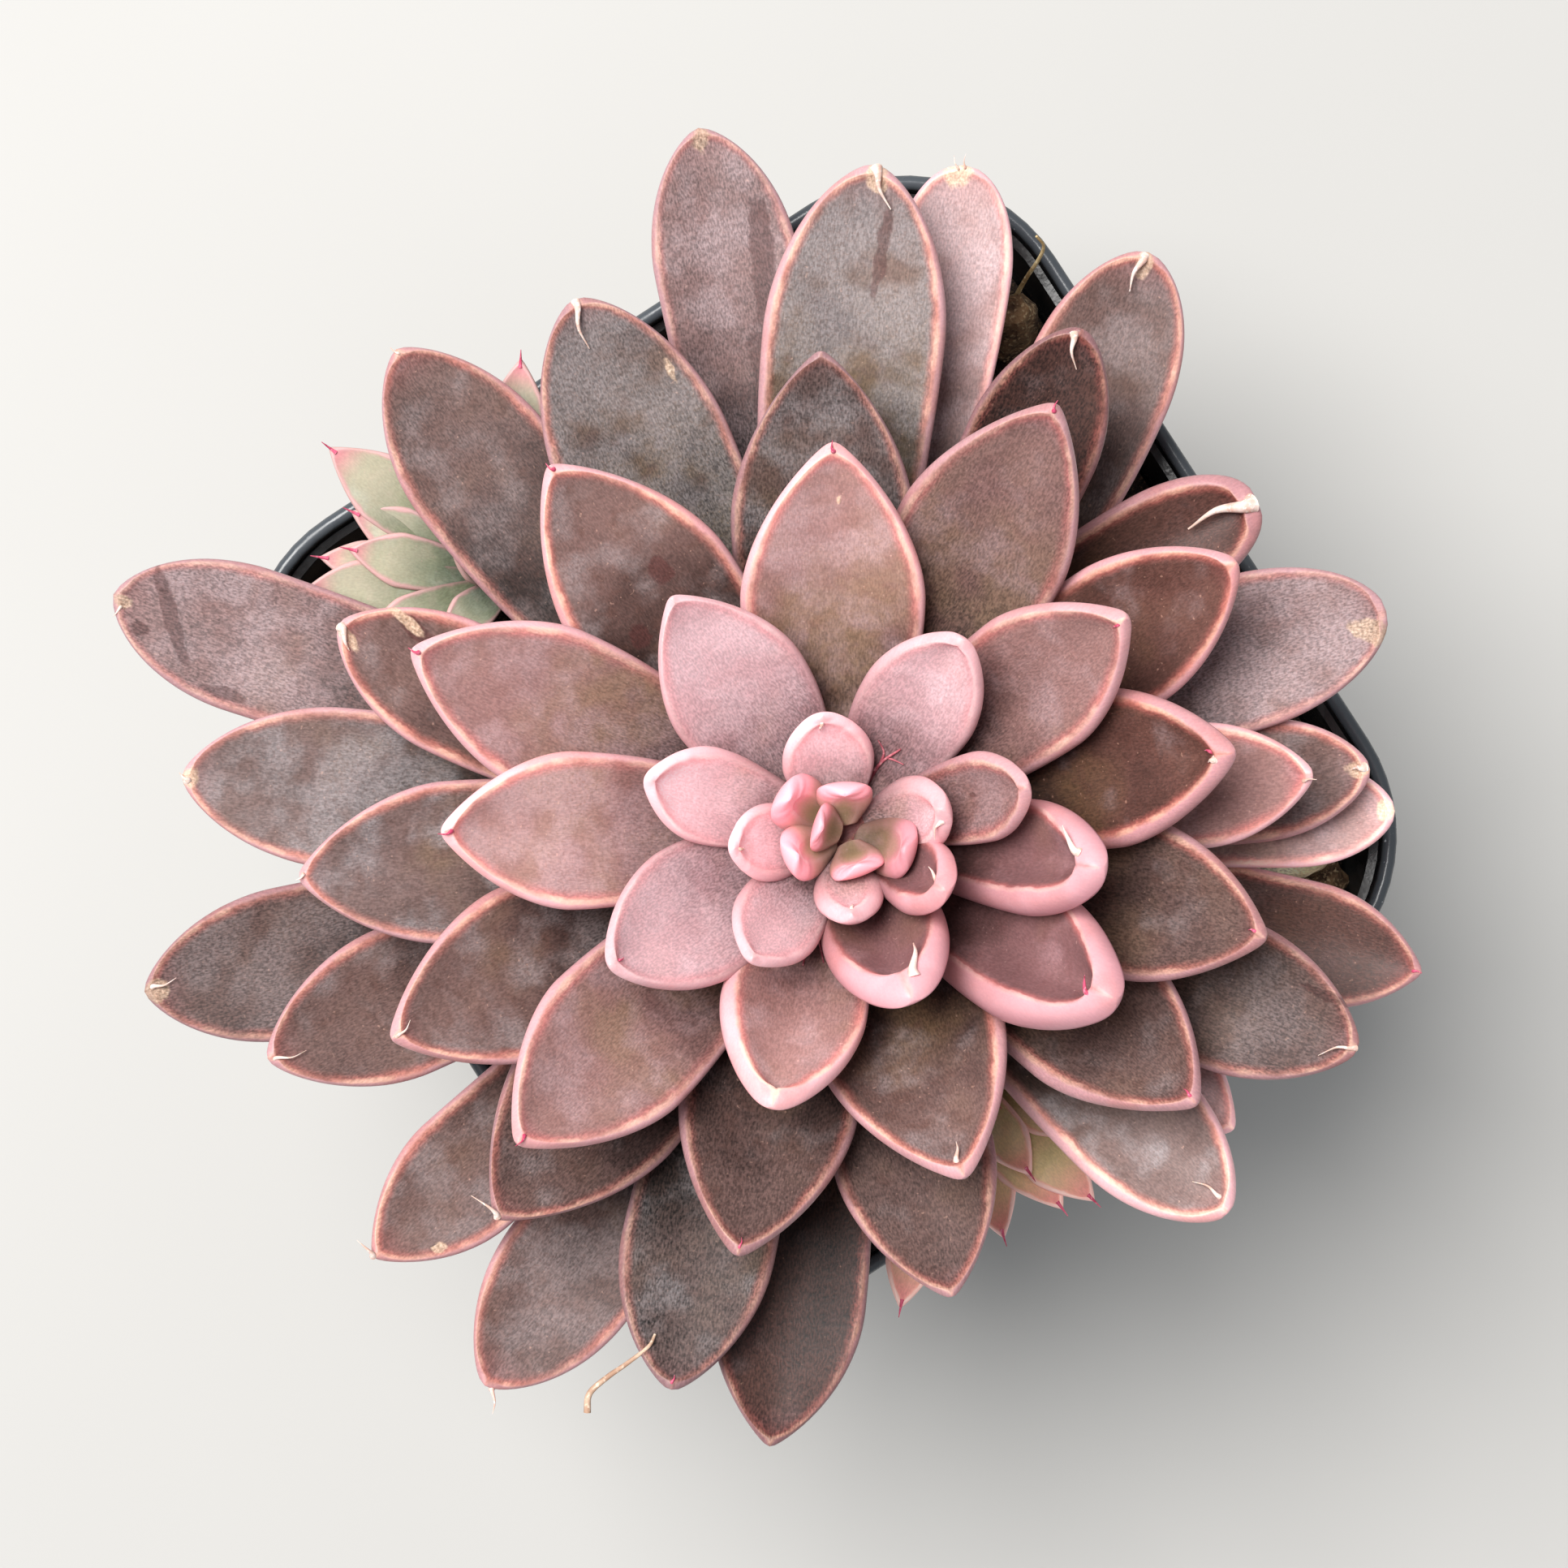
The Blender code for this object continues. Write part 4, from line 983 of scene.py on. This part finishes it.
bitJobs = []
for skinName, thickness, carriers, places in bitRows:
    points = []
    height = None
    for x, y in reversed(places):
        height = settle(x, y, carriers, height or settle(*places[-1], carriers, 0.12))
        points.append(Vector((x * mm, y * mm, height + thickness * 0.3 * mm)))
    path = smoothPath(points[::-1])
    bitJobs.append(("bit", lineMesh(path, tapered(path, thickness * 0.5, 0.6)), threadForm, {
        "Sides": 8, "Seed": 5.0, "Skin": bitSkins[skinName]}))
keep(joined("fallen_bits", grow(bitJobs)), None)


# Young heads beside the main one

offsets = {
    "back": {"foot": Vector((-23, 42, 0)), "skin": "greenLeaf", "leaves": (
        (110, 22, 31, 9.4), (123, 22, 24, 7.4), (136, 24, 23, 7.4), (140, 17, 26, 6.2), (150, 20, 28, 7.4),
        (170, 24, 22, 7.0), (82, 24, 26, 7.6), (66, 19, 23, 8.0), (52, 21, 31, 7.6), (190, 38, 14, 6.0),
        (115, 48, 12, 5.6), (40, 50, 10, 5.0))},
    "front": {"foot": Vector((-8, -44.5, 0)), "skin": "oliveLeaf", "leaves": (
        (253, 24, 26, 7.2), (274, 24, 26, 9.0), (283, 24, 28, 8.0), (224, 22, 35, 6.6), (300, 26, 22, 7.2),
        (240, 28, 20, 7.0), (272, 35, 21, 6.4), (322, 32, 16, 6.0), (200, 34, 14, 5.6), (285, 52, 12, 5.6),
        (345, 50, 10, 5.0))},
}
offsetSizes = {
    "stem": 3.0, "stemHeights": (84, 90, 96, 100, 103.5), "stemEnd": 106.5, "leafBase": 103.5,
    "leafStep": 0.25, "bend": -8.0, "thickness": 0.3,
    "spineRoot": 1.2, "spineFoot": 0.2, "spineReach": 1.1, "spineLift": 0.5, "spineThick": 0.3,
    "spineTaper": 0.85,
}
youngForm = {
    "Foot": 0.4, "Point": 1.4, "Tip Round": 0.95, "Cup": 0.1, "Rim Inset": 0.4 * mm, "Rim Drop": 0.5 * mm,
    "Tip Band": 0.8 * mm, "Ripple": 0.1 * mm, "Tone": (0.2, 0.3, 0.0), "Rows": 44, "Around": 41,
}
youngLooks = {
    "greenLeaf": (
        (180, 174, 152), (132, 146, 120), (188, 176, 158), (194, 200, 186), (152, 160, 128),
        (204, 160, 158), (222, 178, 178), (196, 160, 154), (160, 160, 136), (222, 104, 138),
        0.6, 0.2, 0.3, 0.25, 0.75, 0.15, 0.82,
    ),
    "oliveLeaf": (
        (232, 204, 160), (184, 176, 120), (226, 184, 152), (234, 218, 190), (190, 180, 118),
        (244, 176, 160), (252, 214, 204), (244, 190, 184), (200, 172, 136), (216, 96, 120),
        0.6, 0.25, 0.35, 0.3, 0.75, 0.15, 0.7,
    ),
}
for name, look in youngLooks.items():
    skins[name] = leafMaterial(name, look, leafSkin)


def youngSpine(midrib):
    # The small point that stands on the tip of a young leaf
    tip = midrib.vertices[-1].co
    ahead = (tip - midrib.vertices[-4].co).normalized()
    rising = ahead + Vector((0, 0, offsetSizes["spineLift"]))
    points = smoothPath([
        tip - ahead * offsetSizes["spineRoot"] * mm, tip - ahead * offsetSizes["spineFoot"] * mm,
        tip + rising * offsetSizes["spineReach"] * mm])
    return lineMesh(points, tapered(points, offsetSizes["spineThick"], offsetSizes["spineTaper"]))


for side, head in offsets.items():
    jobs = []
    for place, (turn, rise, length, width) in enumerate(head["leaves"]):
        start = head["foot"] + Vector((0, 0, offsetSizes["leafBase"] + offsetSizes["leafStep"] * place))
        midrib = midribMesh(
            start * mm, radians(turn), radians(rise), radians(offsetSizes["bend"]), 0.0, length * mm)
        jobs.append(("young", youngSpine(midrib), threadForm, {
            "Sides": spineSizes["sides"], "Seed": 1.0, "Skin": spineSkins["roseTip"]}))
        jobs.append(("young", midrib, leafForm, {
            **leafSize(length, width), **youngForm, "Thickness": offsetSizes["thickness"] * width * mm,
            "Seed": 100.0 + place, "Skin": skins[head["skin"]]}))
    pieces = grow(jobs)
    rings = [flutedRing(20, offsetSizes["stem"], height, head["foot"], 0.1, 8.0)
             for height in offsetSizes["stemHeights"]]
    rings.append(flutedRing(20, offsetSizes["stem"] * 0.5, offsetSizes["stemEnd"], head["foot"], 0.1, 8.0))
    pieces.append(skinned("stem", rings, barkSkin))
    keep(joined("young_head_" + side, pieces), "offset_" + side)
print("young heads made")


# Pot

pot = {
    "height": 105.0, "rimHalf": 63.0, "rimCorner": 24.0, "lipWidth": 1.6, "lipDepth": 7.0, "baseHalf": 44.0,
    "baseCorner": 15.0, "wall": 1.2, "floor": 2.0, "drain": 4.5, "drainOffset": 26.0, "cornerPoints": 14,
}


def roundedSquare(half, corner, height):
    ring = []
    count = pot["cornerPoints"]
    for quarter in range(4):
        middle = pi / 4 + quarter * pi / 2
        centre = (half - corner) * sqrt(2)
        for step in range(count):
            turn = middle + pi / 2 * (step / (count - 1) - 0.5)
            x = centre * cos(middle) + corner * cos(turn)
            y = centre * sin(middle) + corner * sin(turn)
            ring.append(Vector((x, y, height)) * mm)
    return ring


def wallRing(height, inset):
    part = height / pot["height"]
    half = pot["baseHalf"] + (pot["rimHalf"] - pot["lipWidth"] - pot["baseHalf"]) * part
    corner = pot["baseCorner"] + (pot["rimCorner"] - pot["lipWidth"] - pot["baseCorner"]) * part
    return roundedSquare(half - inset, corner - inset, height)


def lipRing(inset, height):
    return roundedSquare(pot["rimHalf"] - inset, pot["rimCorner"] - inset, height)


def blackPlastic():
    made, tree, shader = plainMaterial("blackPlastic", {"Roughness": 0.35, "IOR": 1.5})
    place = objectPlace(tree)
    height = splitVector(place)[2]
    smear = cloud(place, 90.0, 5.0, 0.8)
    nicks = cloud(place, 900.0, 2.0).ramp(0.72, 0.78)
    dusty = smear.ramp(0.48, 0.75)
    # the top of the rim is painted a lighter grey-blue: a painted reflection on the glossy top, with the pale
    # nicks along it
    rim = height.ramp(0.1035, 0.1048)
    colour = mixColour(dusty * 0.28, tint(22, 23, 24), tint(84, 86, 84))
    colour = mixColour(rim * 0.8, colour, tint(84, 90, 96))
    colour = mixColour(nicks * rim, colour, tint(190, 196, 200))
    feed(shader.inputs["Base Color"], colour)
    feed(shader.inputs["Roughness"], 0.24 + dusty * 0.3 + nicks * 0.1)
    bumped(tree, shader, smear * 0.08 + cloud(place, 1500.0, 1.0) * 0.02)
    return made


top = pot["height"]
lipBottom = top - pot["lipDepth"]
# Up the outside: heights, and how far in from the plain wall each ring lies
wallSteps = (
    (0.9, 6.0), (0.9, 5.2), (0.2, 4.6), (0.0, 4.0), (0.0, 1.0), (0.3, 0.3), (0.9, 0.0), (14.0, 0.0),
    (14.6, 0.25), (78.0, 0.25), (78.8, 0.0), (lipBottom - 0.3, 0.0), (lipBottom, -0.2),
)
potRings = [wallRing(height, inset) for height, inset in wallSteps]
potRings += [
    lipRing(0.5, lipBottom), lipRing(0.15, lipBottom + 0.15), lipRing(0.0, lipBottom + 0.5),
    lipRing(0.0, top - 1.1),
]
# over the rolled lip, and down the inside
for step in range(7):
    turn = pi * step / 6
    potRings.append(lipRing(1.0 - cos(turn), top - 1.0 + sin(turn)))
potRings += [
    lipRing(2.0, top - 2.6), lipRing(2.15, top - 2.9), wallRing(top - 3.1, pot["wall"] - 0.1),
    wallRing(top - 3.4, pot["wall"]), wallRing(60.0, pot["wall"]), wallRing(pot["floor"] + 0.6, pot["wall"]),
    wallRing(pot["floor"], pot["wall"] + 0.6),
]
plastic = blackPlastic()
potPiece = skinned("nursery_pot", potRings, plastic)
cutters = []
for sideX in (-1, 1):
    for sideY in (-1, 1):
        centre = Vector((sideX * pot["drainOffset"], sideY * pot["drainOffset"], 0))
        rings = [flutedRing(40, pot["drain"], height, centre, 0.0, 0.0) for height in (-2.0, 4.0)]
        cutters.append(skinned("cutter", rings, plastic))
holes = bpy.data.collections.new("holes")
for cutter in cutters:
    holes.objects.link(cutter)
step = potPiece.modifiers.new("holes", "BOOLEAN")
step.operand_type = "COLLECTION"
step.collection = holes
step.solver = "EXACT"
whole = bpy.data.meshes.new_from_object(potPiece.evaluated_get(bpy.context.evaluated_depsgraph_get()))
potPiece.modifiers.clear()
potPiece.data = whole
for cutter in cutters:
    bpy.data.objects.remove(cutter)
bpy.data.collections.remove(holes)
whole.set_sharp_from_angle(angle=radians(35))
keep(potPiece, "pot")


# Potting mix: the plug, and loose crumbs on it

soil = {
    "top": 96.0, "mound": 2.5, "gap": 0.4, "heave": 1.6, "rings": 30,
    "crumbs": 90000.0, "smallestCrumb": 0.3, "largestCrumb": 1.9, "seed": 4,
}
mixSkin = patternMaterial(
    "pottingMix", {"Roughness": 0.95}, ((20, 14, 11), (48, 34, 25), (104, 84, 62)), (380, 2200), 1.2)
soilInset = pot["wall"] + soil["gap"]
soilRings = [wallRing(2.5, soilInset + 0.4), wallRing(soil["top"] - 1.5, soilInset)]
for step in range(1, soil["rings"]):
    part = step / soil["rings"]
    ring = []
    for point in wallRing(soil["top"], soilInset):
        flat = Vector((point.x * (1 - part), point.y * (1 - part), 0))
        heave = noise.fractal(flat * 140, 0.9, 2.0, 4) * soil["heave"] * min(1.0, part * 8)
        mound = soil["mound"] * (1 - max(0.0, 1 - part * 1.8) ** 2)
        ring.append(Vector((flat.x, flat.y, (soil["top"] - 1.0 + mound + heave) * mm)))
    soilRings.append(ring)
keep(skinned("potting_mix_plug", soilRings, mixSkin), "soil")


def makeCrumbForm():
    tree, size, end = startTree("crumbForm", "GeometryNodeTree", {
        "Ground": "Geometry", "Density": 1000.0, "Smallest": 0.0004, "Largest": 0.0016, "Seed": 0,
        "Skin": "Material",
    }, {"Crumbs": "Geometry"})
    normal = fieldOf(tree.nodes.new("GeometryNodeInputNormal"))
    upright = splitVector(normal)[2].calc("GREATER_THAN", 0.6)
    spread = addNode(tree, "GeometryNodeDistributePointsOnFaces", {}, {
        "Mesh": size["Ground"], "Selection": upright, "Density": size["Density"], "Seed": size["Seed"]})
    grain = addNode(tree, "GeometryNodeMeshIcoSphere", {}, {"Radius": 1.0, "Subdivisions": 1})
    place = fieldOf(tree.nodes.new("GeometryNodeInputPosition"))
    lump = addNode(tree, "ShaderNodeTexNoise", {}, {"Vector": place, "Scale": 1.1})
    moved = addNode(tree, "GeometryNodeSetPosition", {}, {
        "Geometry": fieldOf(grain, "Mesh"), "Position": vectorOf("SCALE", place, scale=fieldOf(lump) * 1.8)})
    turn = addNode(tree, "FunctionNodeRandomValue", {"data_type": "FLOAT_VECTOR"}, {"Seed": size["Seed"]})
    turn.inputs[1].default_value = (6.28, 6.28, 6.28)
    bulk = addNode(tree, "FunctionNodeRandomValue", {"data_type": "FLOAT_VECTOR"}, {"Seed": size["Seed"]})
    bulk.inputs[0].default_value = (0.5, 0.3, 0.3)
    width = addNode(tree, "FunctionNodeRandomValue", {"data_type": "FLOAT"}, {"Seed": size["Seed"]})
    broad = size["Smallest"] + (size["Largest"] - size["Smallest"]) * fieldOf(width, 1) ** 3.0
    placed = addNode(tree, "GeometryNodeInstanceOnPoints", {}, {
        "Points": fieldOf(spread, "Points"), "Instance": fieldOf(moved), "Rotation": fieldOf(turn),
        "Scale": vectorOf("SCALE", fieldOf(bulk), scale=broad)})
    return closeTree(end, fieldOf(placed), size["Skin"], smooth=False)


crumbs = grow([("potting_mix_crumbs", ringMesh("ground", soilRings[2:], closed=False), makeCrumbForm(), {
    "Density": soil["crumbs"], "Smallest": soil["smallestCrumb"] * mm, "Largest": soil["largestCrumb"] * mm,
    "Seed": soil["seed"], "Skin": mixSkin})])[0]
keep(crumbs, None)
print("pot and mix made, crumb faces:", len(crumbs.data.polygons))


# Dry things: the old stalk with its straw, and the fallen leaf

stalk = {
    "foot": Vector((53, 34.5, 0)), "radius": 3.2, "top": 107.0, "bottom": 88.0, "lean": Vector((0.9, 1.0, 0)),
    "rings": 20, "points": 32, "rough": 0.35,
}
dryBark = patternMaterial(
    "dryStalk", {"Roughness": 0.9}, ((70, 48, 30), (138, 108, 76), (196, 172, 134)), (420, 1900), 0.9)
stalkRings = []
for step in range(stalk["rings"]):
    part = step / (stalk["rings"] - 1)
    height = stalk["bottom"] + (stalk["top"] - stalk["bottom"]) * part
    centre = stalk["foot"] + stalk["lean"] * max(0.0, part - 0.5) * 2
    radius = stalk["radius"] * (1 + 0.2 * sin(part * pi) - 0.35 * max(0.0, part - 0.8) / 0.2)
    ring = flutedRing(stalk["points"], radius, height, centre, stalk["rough"], 21.0)
    # the broken top is ragged
    if step > stalk["rings"] - 4:
        for i, point in enumerate(ring):
            point.z += noise.noise(Vector((i * 0.9, step * 0.3, 2.0))) * 0.9 * mm
    stalkRings.append(ring)
keep(skinned("dry_stub", stalkRings, dryBark), "dry_stalk")

straw = {
    "points": ((55.6, 37.3, 105), (57.5, 38.2, 109), (59.6, 39.0, 113), (60.6, 39.8, 116), (60.2, 41.2, 118)),
    "thick": 0.35, "taper": 0.48, "sides": 7,
}
strawSkin = patternMaterial(
    "straw", {"Roughness": 0.7}, ((150, 122, 78), (206, 182, 132), (236, 220, 178)), (260, 1500), 0.2)
strawPath = smoothPath([Vector(point) * mm for point in straw["points"]])
strawLine = lineMesh(strawPath, tapered(strawPath, straw["thick"], straw["taper"]))
strawPiece = grow([("straw_thread", strawLine, threadForm, {
    "Sides": straw["sides"], "Seed": 1.0, "Skin": strawSkin})])[0]
keep(strawPiece, None)

paperLook = (
    (254, 244, 196), (246, 228, 176), (236, 212, 160), (254, 248, 222), (232, 212, 158),
    (222, 200, 160), (232, 216, 184), (196, 172, 134), (176, 148, 110), None,
    1.0, 0.4, 1.2, 0.8,
)
skins["paperLeaf"] = leafMaterial("paperLeaf", paperLook, leafSkin)
fallenSizes = {
    "foot": Vector((38, -39, 99)), "turn": -42, "rise": 6, "bend": 20, "length": 17, "width": 9,
    "pointLength": 0.95, "crumple": 0.5, "seed": 3,
}
fallenForm = {
    "Foot": 0.4, "Point": 2.0, "Tip Round": 0.8, "Thickness": 1.6 * mm, "Cup": 0.2, "Rim Inset": 0.5 * mm,
    "Rim Drop": 0.4 * mm, "Rim Lift": 0.3 * mm, "Rim Skew": 0.3, "Tip Band": 0.6 * mm, "Ripple": 0.6 * mm,
    "Seed": 210.0, "Tone": (0.5, 0.2, 0.0), "Rows": 50, "Around": 51, "Skin": skins["paperLeaf"],
}
fallenMidrib = midribMesh(
    fallenSizes["foot"] * mm, radians(fallenSizes["turn"]), radians(fallenSizes["rise"]),
    radians(fallenSizes["bend"]), 0.0, fallenSizes["length"] * mm)
fallenSize = leafSize(fallenSizes["length"], fallenSizes["width"], fallenSizes["pointLength"])
fallen = grow([("fallen_leaf_dry", fallenMidrib, leafForm, {**fallenSize, **fallenForm})])[0]
noise.seed_set(fallenSizes["seed"])
for vert in fallen.data.vertices:
    vert.co += noise.noise_vector(vert.co * 420) * fallenSizes["crumple"] * mm
keep(fallen, "fallen_leaf")

crumb = {
    "middle": Vector((47.8, -52.9, 0)), "bottom": 95.2, "height": 4.8, "radius": 3.1, "rough": 0.7,
    "rings": 13, "points": 28,
}
crumbRings = []
for step in range(crumb["rings"]):
    part = step / (crumb["rings"] - 1)
    girth = crumb["radius"] * max(0.08, sin(pi * (0.06 + 0.9 * part))) ** 0.6
    height = crumb["bottom"] + crumb["height"] * part
    crumbRings.append(flutedRing(crumb["points"], girth, height, crumb["middle"], crumb["rough"], 40.0))
keep(skinned("bark_crumb", crumbRings, dryBark), None)
print("dry things made")


# Camera, light and floor

shot = {"x": -6.64, "y": -0.98, "height": 543.4, "turn": -33.0, "lens": 74.53, "sensor": 36.0}
cameraData = bpy.data.cameras.new("camera")
cameraData.lens = shot["lens"]
cameraData.sensor_width = shot["sensor"]
cameraData.clip_start = 0.01
camera = linked("camera", cameraData)
camera.location = Vector((shot["x"], shot["y"], shot["height"])) * mm
camera.rotation_euler = (0, 0, radians(shot["turn"]))
bpy.context.scene.camera = camera

sky = {
    "place": Vector((-0.2, 0.5, 1.32)), "aim": Vector((0, 0, 0.13)), "size": 0.8, "power": 27.0,
    "colour": (1.0, 0.98, 0.96), "ambient": 0.4, "ambientColour": (0.9, 0.93, 0.97, 1),
}
lamp = bpy.data.lights.new("sky", "AREA")
lamp.shape = "DISK"
lamp.size = sky["size"]
lamp.energy = sky["power"]
lamp.color = sky["colour"]
skyLight = linked("sky", lamp)
skyLight.location = sky["place"]
skyLight.rotation_euler = (sky["aim"] - sky["place"]).to_track_quat("-Z", "Y").to_euler()
world = bpy.data.worlds.new("world")
world.use_nodes = True
background = world.node_tree.nodes["Background"]
background.inputs["Color"].default_value = sky["ambientColour"]
background.inputs["Strength"].default_value = sky["ambient"]
bpy.context.scene.world = world
bpy.context.scene.view_settings.view_transform = "Standard"

floorMaterial, floorTree, floorShader = plainMaterial("paleFloor", {"Roughness": 0.8})
mottle = cloud(objectPlace(floorTree), 6.0, 2.0)
feed(floorShader.inputs["Base Color"], mixColour(mottle, tint(196, 195, 192), tint(204, 203, 200)))
floorForm = bmesh.new()
bmesh.ops.create_grid(floorForm, x_segments=1, y_segments=1, size=2.0)
floorMesh = bpy.data.meshes.new("floor")
floorForm.to_mesh(floorMesh)
floorForm.free()
floorMesh.materials.append(floorMaterial)
linked("floor", floorMesh)
